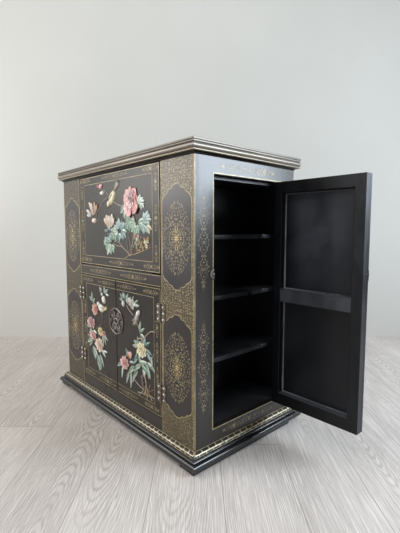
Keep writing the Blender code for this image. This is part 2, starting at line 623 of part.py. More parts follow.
work.oval(-0.162, 0.234, 0.040, 0.036, 0)
work.oval(-0.228, 0.219, 0.024, 0.020, 0)
work.oval(-0.202, 0.217, 0.024, 0.020, 0)
work.oval(-0.168, 0.190, 0.040, 0.024, 0)
work.stem([(-0.136, 0.222), (-0.092, 0.258), (-0.044, 0.278)])
work.stem([(0.018, 0.252), (0.064, 0.238)])
work.stem([(-0.084, 0.310), (-0.038, 0.294)], 0.0035)
work.stem([(0.114, 0.060), (0.060, 0.088), (0.000, 0.098)], 0.0055)
work.stem([(0.118, 0.064), (0.110, 0.126)], 0.0050)
work.stem([(0.126, 0.062), (0.170, 0.138)], 0.0040)
work.stem([(0.076, 0.042), (0.118, 0.056), (0.244, 0.088)])
work.oval(0.190, 0.102, 0.014, 0.014)
work.oval(0.214, 0.108, 0.014, 0.014)
work.oval(0.236, 0.116, 0.014, 0.014)
work.finish(flap)

# Front doors: a bird over blossom on each, with long leaves hanging to the foot.
DOOR_ACROSS = LEAF_X / (DRAWN_LEAF_W + LEAF_GAP / 2)
DOOR_UP = (DOOR_Z1 - DOOR_Z0) / FRONT_DOOR_H
work = Overlay(DOOR_ACROSS, DOOR_UP, 0.0, DOOR_Z0)
work.leaf(-0.132, 0.403, 0.038, 0.020, 120)
work.leaf(-0.078, 0.402, 0.036, 0.022, 130)
work.oval(-0.104, 0.376, 0.030, 0.024, 120)
work.oval(-0.122, 0.330, 0.064, 0.030, -8, STONE_T)
work.leaf(-0.066, 0.344, 0.044, 0.011, 22)
work.leaf(-0.216, 0.364, 0.036, 0.020, 130)
work.bloom(-0.188, 0.310, 0.028, 5, 20)
work.bloom(-0.222, 0.246, 0.034, 6, 0, 0.68)
work.bloom(-0.132, 0.236, 0.026, 5, 40)
work.leaf(-0.096, 0.214, 0.036, 0.018, -40)
work.bloom(-0.204, 0.193, 0.026, 5, 0, 0.75)
work.bloom(-0.142, 0.170, 0.036, 6, 15, 0.82)
work.leaf(-0.242, 0.160, 0.050, 0.022, 15)
work.leaf(-0.200, 0.124, 0.050, 0.024, -55)
work.leaf(-0.166, 0.104, 0.054, 0.022, -60)
work.leaf(-0.134, 0.096, 0.056, 0.022, -75)
work.leaf(-0.104, 0.136, 0.030, 0.012, 10)
work.stem([(-0.122, 0.306), (-0.140, 0.268)], 0.0040)
work.finish(bpy.data.objects["left_front_door"])

work = Overlay(DOOR_ACROSS, DOOR_UP, 0.0, DOOR_Z0)
work.leaf(0.046, 0.394, 0.034, 0.018, 165)
work.leaf(0.084, 0.402, 0.036, 0.020, 75)
work.oval(0.058, 0.370, 0.018, 0.026)
work.oval(0.112, 0.376, 0.034, 0.024, 15)
work.leaf(0.150, 0.384, 0.034, 0.018, 10)
work.stem([(0.080, 0.358), (0.116, 0.336)], 0.0040)
work.oval(0.138, 0.322, 0.044, 0.028, 50, STONE_T)
work.oval(0.164, 0.350, 0.020, 0.014, 40)
work.leaf(0.118, 0.294, 0.032, 0.012, 60)
work.leaf(0.180, 0.312, 0.034, 0.016, 120)
work.stem([(0.176, 0.262), (0.214, 0.278), (0.266, 0.296)], 0.0050)
work.bloom(0.180, 0.216, 0.032, 7, 10)
work.leaf(0.222, 0.246, 0.032, 0.018, 60)
work.leaf(0.130, 0.228, 0.034, 0.018, 160)
work.leaf(0.232, 0.208, 0.034, 0.018, -60)
work.oval(0.098, 0.176, 0.026, 0.022, 60)
work.leaf(0.070, 0.182, 0.026, 0.014, 110)
work.bloom(0.056, 0.138, 0.029, 6, 25)
work.leaf(0.018, 0.116, 0.034, 0.014, -140)
work.leaf(0.142, 0.172, 0.044, 0.018, 115)
work.leaf(0.044, 0.084, 0.044, 0.011, -92)
work.leaf(0.076, 0.078, 0.048, 0.014, -112)
work.leaf(0.104, 0.074, 0.054, 0.013, -92)
work.leaf(0.114, 0.132, 0.046, 0.020, 30)
work.leaf(0.152, 0.126, 0.042, 0.020, 30)
work.leaf(0.186, 0.158, 0.044, 0.020, 15)
work.leaf(0.230, 0.152, 0.044, 0.020, -35)
work.leaf(0.208, 0.126, 0.036, 0.016, -70)
work.stem([(0.190, 0.100), (0.202, 0.054)], 0.0060)
work.stem([(0.132, 0.084), (0.180, 0.066)], 0.0035)
work.stem([(0.214, 0.060), (0.258, 0.082)], 0.0040)
work.oval(0.204, 0.044, 0.030, 0.012)
work.finish(bpy.data.objects["right_front_door"])
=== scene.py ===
"""Looks of the lacquered bar cabinet: finishes, gold ornament, carved stones and metalwork on its frame."""

import math
import random

import bmesh
import bpy
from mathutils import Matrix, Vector


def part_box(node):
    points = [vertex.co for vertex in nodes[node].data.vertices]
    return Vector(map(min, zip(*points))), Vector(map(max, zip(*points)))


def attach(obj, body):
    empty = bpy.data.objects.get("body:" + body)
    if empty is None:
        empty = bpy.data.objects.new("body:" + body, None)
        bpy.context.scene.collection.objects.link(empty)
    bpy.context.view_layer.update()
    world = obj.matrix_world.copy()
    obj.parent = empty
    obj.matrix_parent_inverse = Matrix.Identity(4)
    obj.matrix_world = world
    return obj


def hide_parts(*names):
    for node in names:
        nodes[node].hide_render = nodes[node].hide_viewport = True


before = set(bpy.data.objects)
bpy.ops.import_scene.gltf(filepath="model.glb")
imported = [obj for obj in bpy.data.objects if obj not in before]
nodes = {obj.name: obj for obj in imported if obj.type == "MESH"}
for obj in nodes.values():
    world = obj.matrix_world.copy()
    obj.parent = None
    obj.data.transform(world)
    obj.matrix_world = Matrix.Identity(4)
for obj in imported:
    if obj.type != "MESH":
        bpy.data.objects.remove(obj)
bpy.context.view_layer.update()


# Base moulding.
# A gloss black half-round of solid wood under a small fillet, mitred at the corners and nailed to the plinth.
# The lacquer is polished, so it shows sharp lights along the top of the round.
class Finish:
    """A material's node graph. Each call adds a node and gives back its output socket."""

    def __init__(self, name):
        self.material = bpy.data.materials.new(name)
        self.material.use_nodes = True
        self.tree = self.material.node_tree
        self.shader = self.tree.nodes["Principled BSDF"]
        self.place = self.tree.nodes.new("ShaderNodeTexCoord").outputs["Object"]

    def put(self, socket, value):
        if isinstance(value, bpy.types.NodeSocket):
            self.tree.links.new(value, socket)
        elif socket.type == "RGBA" and len(value) == 3:
            socket.default_value = (*value, 1.0)
        else:
            socket.default_value = value

    def set(self, **values):
        for name, value in values.items():
            self.put(self.shader.inputs[name.replace("_", " ")], value)
        return self.material

    def math(self, operation, a, b=0.0, c=0.0):
        node = self.tree.nodes.new("ShaderNodeMath")
        node.operation = operation
        for socket, value in zip(node.inputs, (a, b, c)):
            self.put(socket, value)
        return node.outputs[0]

    def times(self, a, b):
        return self.math("MULTIPLY", a, b)

    def plus(self, a, b):
        return self.math("ADD", a, b)

    def mapped(self, scale=(1.0, 1.0, 1.0), turn=0.0):
        node = self.tree.nodes.new("ShaderNodeMapping")
        self.put(node.inputs["Vector"], self.place)
        self.put(node.inputs["Scale"], scale)
        self.put(node.inputs["Rotation"], (0.0, 0.0, turn))
        return node.outputs[0]

    def axes(self, vector=None):
        node = self.tree.nodes.new("ShaderNodeSeparateXYZ")
        self.put(node.inputs[0], vector or self.place)
        return node.outputs

    def joined(self, x, y, z):
        node = self.tree.nodes.new("ShaderNodeCombineXYZ")
        for socket, value in zip(node.inputs, (x, y, z)):
            self.put(socket, value)
        return node.outputs[0]

    def noise(self, scale, detail=3.0, vector=None, distortion=0.0):
        node = self.tree.nodes.new("ShaderNodeTexNoise")
        self.put(node.inputs["Vector"], vector or self.place)
        self.put(node.inputs["Scale"], scale)
        self.put(node.inputs["Detail"], detail)
        self.put(node.inputs["Distortion"], distortion)
        return node.outputs[0]

    def span(self, value, low, high, to_low=0.0, to_high=1.0):
        node = self.tree.nodes.new("ShaderNodeMapRange")
        for socket, number in zip(node.inputs, (value, low, high, to_low, to_high)):
            self.put(socket, number)
        return node.outputs[0]

    def within(self, value, low, low_full, high_full, high):
        """1 between the two full levels, fading to 0 at the outer ones."""
        return self.times(self.span(value, low, low_full), self.span(value, high, high_full))

    def mix(self, share, a, b, blend="MIX"):
        node = self.tree.nodes.new("ShaderNodeMix")
        node.data_type = "RGBA"
        node.blend_type = blend
        self.put(node.inputs[0], share)
        self.put(node.inputs[6], a)
        self.put(node.inputs[7], b)
        return node.outputs[2]

    def bump(self, height, strength, distance):
        node = self.tree.nodes.new("ShaderNodeBump")
        self.put(node.inputs["Strength"], strength)
        self.put(node.inputs["Distance"], distance)
        self.put(node.inputs["Height"], height)
        return node.outputs[0]

    def upward(self, low, high):
        """How far a face looks up, from 0 to 1."""
        node = self.tree.nodes.new("ShaderNodeNewGeometry")
        return self.span(self.axes(node.outputs["Normal"])[2], low, high)

    def painted(self, name):
        """Reads a value that the mesh carries at its points."""
        node = self.tree.nodes.new("ShaderNodeAttribute")
        node.attribute_name = name
        return node.outputs


def shaded_by_angle():
    """A node group that shades rounds smooth and keeps edges sharper than 40 degrees."""
    group = bpy.data.node_groups.new("shaded_by_angle", "GeometryNodeTree")
    group.interface.new_socket("Geometry", in_out="INPUT", socket_type="NodeSocketGeometry")
    group.interface.new_socket("Geometry", in_out="OUTPUT", socket_type="NodeSocketGeometry")
    start = group.nodes.new("NodeGroupInput")
    end = group.nodes.new("NodeGroupOutput")
    all_smooth = group.nodes.new("GeometryNodeSetShadeSmooth")
    corners = group.nodes.new("GeometryNodeSetShadeSmooth")
    corners.domain = "EDGE"
    corners.inputs["Shade Smooth"].default_value = False
    angle = group.nodes.new("GeometryNodeInputMeshEdgeAngle")
    sharper = group.nodes.new("FunctionNodeCompare")
    sharper.inputs[1].default_value = math.radians(40)
    group.links.new(start.outputs[0], all_smooth.inputs["Geometry"])
    group.links.new(all_smooth.outputs[0], corners.inputs["Geometry"])
    group.links.new(angle.outputs[0], sharper.inputs[0])
    group.links.new(sharper.outputs[0], corners.inputs["Selection"])
    group.links.new(corners.outputs[0], end.inputs[0])
    return group


by_angle = shaded_by_angle()


def dress(names, material, eased=0.0):
    """Gives CAD nodes a finish, rounds their edges by the eased width and shades their curves smooth."""
    for name in names:
        node = nodes[name]
        node.data.materials.clear()
        node.data.materials.append(material)
        weld = node.modifiers.new("weld", "WELD")
        weld.merge_threshold = 0.00001
        if eased:
            edge = node.modifiers.new("eased_edges", "BEVEL")
            edge.width = eased
            edge.segments = 3
            edge.limit_method = "ANGLE"
        shade = node.modifiers.new("shaded_by_angle", "NODES")
        shade.node_group = by_angle
        flat = node.modifiers.new("flat_faces", "WEIGHTED_NORMAL")
        flat.keep_sharp = True


look = Finish("black_gloss_lacquer")
smudge = look.noise(9.0, 4.0)
black_gloss = look.set(
    Base_Color=look.mix(smudge, (0.006, 0.006, 0.007), (0.015, 0.015, 0.016)),
    Roughness=look.span(smudge, 0.3, 0.7, 0.18, 0.28),
    Normal=look.bump(look.noise(35.0, 2.0), 0.05, 0.002),
)
dress(["base_moulding"], black_gloss, 0.0007)


# Fret band.
# A quarter-round that sits on the base moulding, brown-black, with a gilt fret painted along it.
# The fret is a row of squares between two lines, with a row of short blocks under it.
def rubbed(name, grain, clouds, dark, bright, rough, metal=0.0, **more):
    """A worn finish: one noise moves its colour, its roughness and, where given as a range, its metal."""
    look = Finish(name)
    rub = look.noise(*grain)
    return look.set(
        Base_Color=look.mix(look.span(rub, *clouds), dark, bright),
        Metallic=look.span(rub, 0.3, 0.7, *metal) if isinstance(metal, tuple) else metal,
        Roughness=look.span(rub, 0.3, 0.7, *rough),
        **more,
    )


fret_ground = rubbed("fret_ground", (60.0, 3.0), (0.3, 0.7), (0.024, 0.019, 0.014), (0.052, 0.042, 0.030),
                     (0.28, 0.42))
fret_gilt = rubbed("fret_gilt", (70.0, 4.0), (0.32, 0.68), (0.330, 0.275, 0.165), (0.640, 0.575, 0.400),
                   (0.30, 0.44), (0.15, 0.35))
dress(["base_fret_band"], fret_ground)
band_low, band_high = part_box("base_fret_band")
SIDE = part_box("right_side_frame")[1].x
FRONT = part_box("right_pilaster")[0].y
BAND_ROOT = 0.0010
BAND_FOOT = 0.0012
FRET_CELLS = (40, 17)
FRET_BAR = 0.0042
FRET_PAST_CORNER = 0.008
FOOT_LINE, MIDDLE_LINE, HEAD_LINE = (0.00, 0.07), (0.33, 0.44), (0.89, 1.00)
GILT_LIFT = 0.0004


def piece(name, points, faces, material, body, smooth=False):
    """A mesh in world coordinates that moves with a CAD body."""
    mesh = bpy.data.meshes.new(name)
    mesh.from_pydata(points, [], faces)
    mesh.materials.append(material)
    mesh.polygons.foreach_set("use_smooth", [smooth] * len(mesh.polygons))
    mesh.update()
    if smooth:
        mesh.set_sharp_from_angle(angle=math.radians(48))
    made = bpy.data.objects.new(name, mesh)
    bpy.context.scene.collection.objects.link(made)
    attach(made, body)
    return made


def band_point(turn, along, share, lift):
    """A point on the quarter-round of one side: share 0 at its foot and 1 at its top."""
    a = math.radians(2 + 86 * share)
    across = -FRONT if turn % 2 == 0 else SIDE
    reach = band_high.x - SIDE - BAND_ROOT
    rise = band_high.z - band_low.z - BAND_FOOT
    x = along
    y = -(across + BAND_ROOT + (reach + lift) * math.cos(a))
    for _ in range(turn):
        x, y = -y, x
    return (x, y, band_low.z + BAND_FOOT + (rise + lift) * math.sin(a))


points, faces = [], []


def band_mark(turn, start, end, low, high):
    """A gilt patch on the band of one side, between two places along it and two shares of its round."""
    first = len(points)
    rows = 3
    for i in range(rows + 1):
        share = low + (high - low) * i / rows
        points.append(band_point(turn, start, share, GILT_LIFT))
        points.append(band_point(turn, end, share, GILT_LIFT))
    for i in range(rows):
        a = first + 2 * i
        faces.append([a, a + 1, a + 3, a + 2])


for turn in range(4):
    run = (SIDE if turn % 2 == 0 else -FRONT) + FRET_PAST_CORNER
    count = FRET_CELLS[turn % 2]
    pitch = 2 * run / count
    for low, high in (FOOT_LINE, MIDDLE_LINE, HEAD_LINE):
        band_mark(turn, -run, run, low, high)
    for i in range(count + 1):
        bar = -run + i * pitch
        band_mark(turn, bar - FRET_BAR / 2, bar + FRET_BAR / 2, MIDDLE_LINE[1], HEAD_LINE[0])
        if i < count:
            near, far = bar + (pitch - FRET_BAR) / 2, bar + (pitch + FRET_BAR) / 2
            band_mark(turn, near, far, FOOT_LINE[1], MIDDLE_LINE[0])
piece("base_fret", points, faces, fret_gilt, "cabinet")

# Carcass.
# Floor, ceiling, partitions, bar deck, back and the rails behind the front, glued and dowelled.
# All sprayed in black satin lacquer that shows dust, smudges and a soft sheen; faces that look up are painted
# paler and bluer, partly dust and partly a painted sheen.
look = Finish("black_satin_lacquer")
smudge = look.noise(5.0, 5.0, look.mapped((1.0, 1.0, 0.45)), 0.6)
sprayed = look.mix(look.span(smudge, 0.40, 0.75), (0.0040, 0.0043, 0.0055), (0.0150, 0.0165, 0.0205))
# Faces that look up are painted paler and bluer: dust together with a painted sheen.
dust_and_sheen = look.times(look.upward(0.5, 0.9), look.span(smudge, 0.25, 0.75, 0.45, 0.75))
black_satin = look.set(
    Base_Color=look.mix(dust_and_sheen, sprayed, (0.0520, 0.0590, 0.0680)),
    Roughness=look.span(smudge, 0.3, 0.7, 0.28, 0.38),
    Normal=look.bump(look.noise(90.0, 2.0), 0.05, 0.002),
)
SIDES = (("left", -1), ("right", 1))
carcass = ["floor_board", "ceiling_board", "bar_deck", "back_board", "head_rail", "plinth"]
carcass += [f"{side}_{part}" for side, _ in SIDES for part in ("partition", "front_post")]
dress(carcass, black_satin)

# Shelves.
# Three boards in each side compartment, fixed against the partition between the front and the back.
# Black satin like the carcass, with the front edge rubbed round and a little grey from use.
shelf_black = rubbed("shelf_lacquer", (8.0, 5.0, None, 0.5), (0.35, 0.70), (0.0080, 0.0090, 0.0110),
                     (0.0420, 0.0470, 0.0540), (0.24, 0.42))
shelves = [f"{side}_shelf_{level}" for side, _ in SIDES for level in ("lower", "middle", "upper")]
dress(shelves, shelf_black, 0.003)

# Pilasters.
# Broad boards at both ends of the front: a close gold diaper of small dots on brown lacquer, partly worn.
# Two black cartouches on each hold a lacy gold medal. The board's outer edge is plain.
look = Finish("gold_diaper_lacquer")
x, _, z = look.axes()
DIAPER_PITCH = 0.0084
column = look.times(x, 1.0 / DIAPER_PITCH)
row = look.times(z, 1.0 / DIAPER_PITCH)
dots = look.tree.nodes.new("ShaderNodeTexVoronoi")
dots.voronoi_dimensions = "2D"
look.put(dots.inputs["Vector"], look.joined(column, row, 0.0))
look.put(dots.inputs["Scale"], 1.0)
look.put(dots.inputs["Randomness"], 0.62)
dot = look.span(dots.outputs["Distance"], 0.40, 0.22)
slant = look.math("PINGPONG", look.plus(column, row), 0.5)
worn = look.noise(95.0, 3.0)
patch = look.noise(14.0, 3.0)
drawn = look.times(dot, look.span(worn, 0.40, 0.62, 0.12, 1.0))
# The gold dots are painted dimmer on the left pilaster and towards the foot, and the left pilaster's ground
# darker: painted shade.
drawn = look.times(drawn, look.span(x, 0.05, -0.05, 1.0, 0.42))
drawn = look.times(drawn, look.span(z, 0.12, 0.45, 0.66, 1.0))
ground = look.mix(look.span(patch, 0.3, 0.7), (0.046, 0.033, 0.016), (0.090, 0.067, 0.033))
ground = look.mix(look.span(slant, 0.16, 0.06, 0.0, 0.35), ground, (0.130, 0.098, 0.048))
ground = look.mix(look.span(x, 0.05, -0.05, 0.0, 0.80), ground, (0.026, 0.019, 0.010))
outer_edge = look.span(look.math("ABSOLUTE", x), SIDE - 0.0005, SIDE - 0.0003)
diaper_colour = look.mix(drawn, ground, (0.400, 0.325, 0.185))
diaper = look.set(
    Base_Color=look.mix(outer_edge, diaper_colour, (0.022, 0.018, 0.015)),
    Metallic=look.times(drawn, 0.20),
    Roughness=look.span(worn, 0.3, 0.7, 0.28, 0.40),
    Specular_IOR_Level=0.34,
    Coat_Weight=0.20,
    Coat_Roughness=0.20,
)
dress(["left_pilaster", "right_pilaster"], diaper)
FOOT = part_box("right_pilaster")[0].z
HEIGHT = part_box("right_pilaster")[1].z - FOOT


def on_front(u, v, lift):
    """A place on the front, v above the foot of the body."""
    return (u, FRONT - lift, FOOT + v)


def on_right(u, v, lift):
    return (SIDE + lift, u, FOOT + v)


def on_left(u, v, lift):
    return (-SIDE - lift, u, FOOT + v)


def scroll(u, v, angle, size, hand, steps=10):
    """A line that winds up towards its end, to the left for hand 1 and to the right for -1."""
    course = [(u, v)]
    for i in range(steps):
        share = (i + 0.5) / steps
        turned = angle + hand * 4.6 * share ** 1.6
        step = size / steps * (1.30 - 0.90 * share)
        u, v = u + step * math.cos(turned), v + step * math.sin(turned)
        course.append((u, v))
    return course


def lace(half_wide, half_tall, spacing, grain):
    """Places for the small marks of one quarter of an oval, never closer than the spacing."""
    pick = random.Random(grain)
    spots = []
    for _ in range(2600):
        x, z = pick.uniform(spacing * 0.3, half_wide), pick.uniform(spacing * 0.3, half_tall)
        reach = math.hypot(x / half_wide, z / half_tall)
        if reach < 1.0 and all(math.hypot(x - a, z - b) > spacing for a, b, *_ in spots):
            spots.append((x, z, reach, pick.uniform(-1.1, 1.1), pick.random()))
    return spots


QUARTERS = ((1, 1), (-1, 1), (1, -1), (-1, -1))


def medal(brushes, u, v, spots, size):
    """A lacy oval, the same in its four quarters: bright at the heart and fading to a spiky edge."""
    for x, z, reach, lean, kind in spots:
        brush = brushes[0 if reach < 0.34 else 1 if reach < 0.68 else 2]
        heading = math.atan2(z, x) + lean
        for kx, kz in QUARTERS:
            turned = math.atan2(kz * math.sin(heading), kx * math.cos(heading))
            spot = (u + kx * x, v + kz * z)
            if reach > 0.90:
                brush.sprig(*spot, math.atan2(kz * z, kx * x), size * 1.25)
            elif kind < 0.45:
                brush.curl(*spot, turned, size * 1.7, kx * kz * (1 if lean > 0 else -1), size * 0.15)
            elif kind < 0.75:
                brush.sprig(*spot, turned, size * 1.1)
            else:
                brush.flower(*spot, size * 0.62, 5)


class Brush:
    """Gold painted on one face of the cabinet: strokes, drops and dots, a hair above the lacquer."""

    def __init__(self, place, lift=0.00030):
        self.place = place
        self.lift = lift
        self.points = []
        self.faces = []

    def layer(self):
        """Strokes that cross lie at slightly unlike heights."""
        return self.lift + 0.00001 * (len(self.faces) % 9)

    def fill(self, outline):
        start = len(self.points)
        raised = self.layer()
        self.points.extend(self.place(u, v, raised) for u, v in outline)
        self.faces.append(list(range(start, start + len(outline))))

    def stroke(self, course, wide, thin=None):
        """A line along the course, from wide at its start to thin at its end."""
        thin = wide if thin is None else thin
        last = len(course) - 1
        start = len(self.points)
        raised = self.layer()
        for i, (u, v) in enumerate(course):
            u0, v0 = course[max(i - 1, 0)]
            u1, v1 = course[min(i + 1, last)]
            half = (wide + (thin - wide) * i / last) / 2 / (math.hypot(u1 - u0, v1 - v0) or 1.0)
            side_u, side_v = -(v1 - v0) * half, (u1 - u0) * half
            self.points.append(self.place(u + side_u, v + side_v, raised))
            self.points.append(self.place(u - side_u, v - side_v, raised))
        for i in range(last):
            a = start + 2 * i
            self.faces.append([a, a + 1, a + 3, a + 2])

    def bar(self, u0, u1, v0, v1):
        self.fill([(u0, v0), (u1, v0), (u1, v1), (u0, v1)])

    def box(self, u0, u1, v0, v1, width):
        """A rectangle drawn as four lines."""
        half = width / 2
        self.bar(u0 - half, u1 + half, v0 - half, v0 + half)
        self.bar(u0 - half, u1 + half, v1 - half, v1 + half)
        self.bar(u0 - half, u0 + half, v0 + half, v1 - half)
        self.bar(u1 - half, u1 + half, v0 + half, v1 - half)

    def drop(self, u, v, length, width, angle):
        """A leaf-shaped touch of the brush, its point at the far end."""
        c, s = math.cos(angle), math.sin(angle)
        shape = ((0.0, 0.0), (0.2, 0.42), (0.5, 0.48), (1.0, 0.0), (0.5, -0.48), (0.2, -0.42))
        touch = [(a * length, b * width) for a, b in shape]
        self.fill([(u + a * c - b * s, v + a * s + b * c) for a, b in touch])

    def dot(self, u, v, radius, sides=7):
        turns = [2 * math.pi * i / sides for i in range(sides)]
        self.fill([(u + radius * math.cos(a), v + radius * math.sin(a)) for a in turns])

    def curl(self, u, v, angle, size, hand, width):
        """A scroll with a dot at its end and two small leaves on its back."""
        course = scroll(u, v, angle, size, hand)
        self.stroke(course, width, width * 0.7)
        self.dot(*course[-1], width * 1.1, 6)
        for at in (4, 7):
            (u0, v0), (u1, v1) = course[at - 1], course[at]
            back = math.atan2(v1 - v0, u1 - u0) - hand
            self.drop(*course[at], size * 0.20, size * 0.065, back)

    def sprig(self, u, v, angle, size):
        """Three leaves on a stalk."""
        self.drop(u, v, size, size * 0.30, angle)
        for lean in (-0.8, 0.8):
            self.drop(u, v, size * 0.6, size * 0.24, angle + lean)

    def flower(self, u, v, radius, petals, fat=0.42, turn=0.0):
        for i in range(petals):
            a = turn + 2 * math.pi * i / petals
            inner = radius * 0.22
            self.drop(u + inner * math.cos(a), v + inner * math.sin(a), radius - inner, radius * fat, a)
        self.dot(u, v, radius * 0.18)

    def garland(self, u, v, length, width, upright=False, profile=(0.25, 0.7, 1.0, 0.7, 0.25), blooms=(0.5,)):
        """A chain of paired scrolls, lying or upright, whose width follows the profile from start to end."""
        lie = math.pi / 2 if upright else 0.0
        flip = -1 if upright else 1

        def at(along, across):
            return (u + across, v + along) if upright else (u + along, v + across)

        def wide(share):
            spot = share * (len(profile) - 1)
            i = min(int(spot), len(profile) - 2)
            return profile[i] + (profile[i + 1] - profile[i]) * (spot - i)

        count = max(3, round(length / width / 0.46))
        for i in range(count):
            share = (i + 0.5) / count
            along = (share - 0.5) * length
            size = width * 0.98 * wide(share)
            way = 1 if share > 0.5 else -1
            for side in (1, -1):
                for heading, part in ((way, 1.0), (-way, 0.66)):
                    base = lie + (0.0 if heading > 0 else math.pi)
                    turn = side * heading * flip
                    start = at(along, side * width * 0.03)
                    lean = turn * (0.95 if part == 1.0 else 1.2)
                    self.curl(*start, base + lean, size * part, -turn, width * 0.019)
        for end in (-1, 1):
            self.sprig(*at(end * length * 0.47, 0.0), lie + (0.0 if end > 0 else math.pi), width * 0.32)
        for share in blooms:
            self.flower(*at((share - 0.5) * length, 0.0), width * 0.24, 8, 0.36)

    def string(self, u, v, length, width, lobes, spots):
        """An upright chain: fine lace between two crossing strands, and a fork of spikes at each end."""
        line = 0.0009
        for side in (1, -1):
            course = []
            for i in range(49):
                share = i / 48
                swell = 0.60 + 0.40 * math.sin(math.pi * share)
                off = side * width * 0.40 * swell * math.sin(math.pi * lobes * share)
                course.append((u + off, v + (share - 0.5) * length))
            self.stroke(course, line)
        for k in range(lobes):
            middle = v + ((k + 0.5) / lobes - 0.5) * length
            medal((self, self, self), u, middle, spots, width * 0.105)
            self.flower(u, middle, width * 0.15, 8, 0.26)
            if k:
                self.flower(u, middle - length / lobes / 2, width * 0.11, 6, 0.30)
        for end in (1, -1):
            tip = v + end * length * 0.5
            for lean in (-0.20, 0.0, 0.20):
                reach = 0.030 - 0.05 * abs(lean)
                foot = (u + lean * 0.02, tip - end * 0.006)
                self.stroke([foot, (u + lean * reach * 1.6, tip + end * reach)], line * 1.2, line * 0.5)
            for hand in (1, -1):
                heading = end * (math.pi / 2 - hand * 0.5)
                self.curl(u, tip + end * 0.002, heading, width * 0.42, hand * end, line)

    def finish(self, name, material, body):
        piece(name, self.points, self.faces, material, body)


look = Finish("gold_paint")
rub = look.noise(38.0, 4.0)
fleck = look.noise(260.0, 2.0)
flaked = look.span(look.plus(rub, fleck), 0.75, 1.25)
gold = look.set(
    Base_Color=look.mix(flaked, (0.230, 0.175, 0.085), (0.520, 0.425, 0.230)),
    Metallic=look.span(rub, 0.3, 0.7, 0.05, 0.25),
    Roughness=look.span(fleck, 0.3, 0.7, 0.36, 0.50),
    Coat_Weight=0.22,
    Coat_Roughness=0.26,
)
faded_gold = rubbed("faded_gold_paint", (52.0, 4.0), (0.32, 0.66), (0.120, 0.094, 0.052),
                    (0.350, 0.285, 0.165), (0.38, 0.50), (0.05, 0.20), Coat_Weight=0.22, Coat_Roughness=0.26)
bright_gold = rubbed("bright_gold_paint", (45.0, 4.0), (0.35, 0.65), (0.420, 0.315, 0.135),
                     (0.680, 0.545, 0.275), (0.34, 0.48), (0.15, 0.40))
look = Finish("cartouche_lacquer")
cloud = look.noise(6.0, 4.0)
cartouche_black = look.set(
    Base_Color=look.mix(look.span(cloud, 0.3, 0.7), (0.016, 0.012, 0.012), (0.027, 0.021, 0.020)),
    Roughness=look.span(cloud, 0.3, 0.75, 0.25, 0.34),
    Specular_IOR_Level=0.34,
    Coat_Weight=0.20,
    Coat_Roughness=0.20,
)


def lobed_end(middle, half, shoulder, point):
    """Right half of a cartouche's end, from its side to its point: three lobes that meet in cusps."""
    corners = ((1.0, 0.0), (0.65, 0.47), (0.30, 0.76), (0.0, 1.0))
    course = []
    for (x0, z0), (x1, z1) in zip(corners, corners[1:]):
        for i in range(6):
            share = i / 6
            bulge = 0.075 * math.sin(math.pi * share)
            x = x0 + (x1 - x0) * share + bulge * 0.5
            z = z0 + (z1 - z0) * share + bulge
            course.append((middle + half * x, shoulder + (point - shoulder) * z))
    course.append((middle, point))
    return course


def cartouche(middle, half, low_point, low_shoulder, high_shoulder, high_point):
    """The outline of a tall field with a lobed end above and below."""
    right = list(reversed(lobed_end(middle, half, low_shoulder, low_point)))
    right += lobed_end(middle, half, high_shoulder, high_point)
    return right + [(2 * middle - x, z) for x, z in reversed(right[1:-1])]


CARTOUCHE_X = 0.3875
CARTOUCHE_HALF = 0.0755
CARTOUCHE_LINE = 0.0030
UPPER_ENDS, UPPER_MEDAL = (0.510, 0.5560, 0.796, 0.849), 0.676
LOWER_ENDS, LOWER_MEDAL = (0.0825, 0.1260, 0.380, 0.4288), 0.252
MEDAL_HALF, MEDAL_MARK = (0.066, 0.112), 0.0074
HEART_HALF, HEART_MARK = (0.021, 0.035), 0.0050
EDGE_LINE = 0.0026
EDGE_INSET = 0.0030
END_GAP = 0.002
medal_lace = lace(*MEDAL_HALF, MEDAL_MARK, 4)
heart_lace = lace(*HEART_HALF, 0.0054, 9)
fields = Brush(on_front, 0.00020)
lines = Brush(on_front)
faded = Brush(on_front)
stars = Brush(on_front, 0.00045)
edge_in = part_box("right_pilaster")[0].x
for sign in (-1, 1):
    middle = sign * CARTOUCHE_X
    for ends, centre in ((UPPER_ENDS, UPPER_MEDAL), (LOWER_ENDS, LOWER_MEDAL)):
        outline = cartouche(middle, CARTOUCHE_HALF, *ends)
        fields.fill(outline)
        lines.stroke(outline + outline[:1], CARTOUCHE_LINE)
        medal((stars, lines, faded), middle, centre, medal_lace, MEDAL_MARK)
        medal((stars, stars, stars), middle, centre, heart_lace, HEART_MARK)
        stars.flower(middle, centre, 0.0125, 8, 0.30, math.pi / 8)
        for end in (1, -1):
            tip = centre + end * (MEDAL_HALF[1] - 0.004)
            for hand in (1, -1):
                faded.drop(middle + hand * 0.010, tip, 0.013, 0.0045, end * math.pi / 2)
    for x in (edge_in + EDGE_INSET, SIDE - EDGE_LINE):
        lines.stroke([(sign * x, END_GAP), (sign * x, HEIGHT - END_GAP)], EDGE_LINE)
fields.finish("pilaster_cartouches", cartouche_black, "cabinet")
lines.finish("pilaster_gold_work", gold, "cabinet")
faded.finish("pilaster_faded_gold", faded_gold, "cabinet")
stars.finish("pilaster_gold_stars", bright_gold, "cabinet")


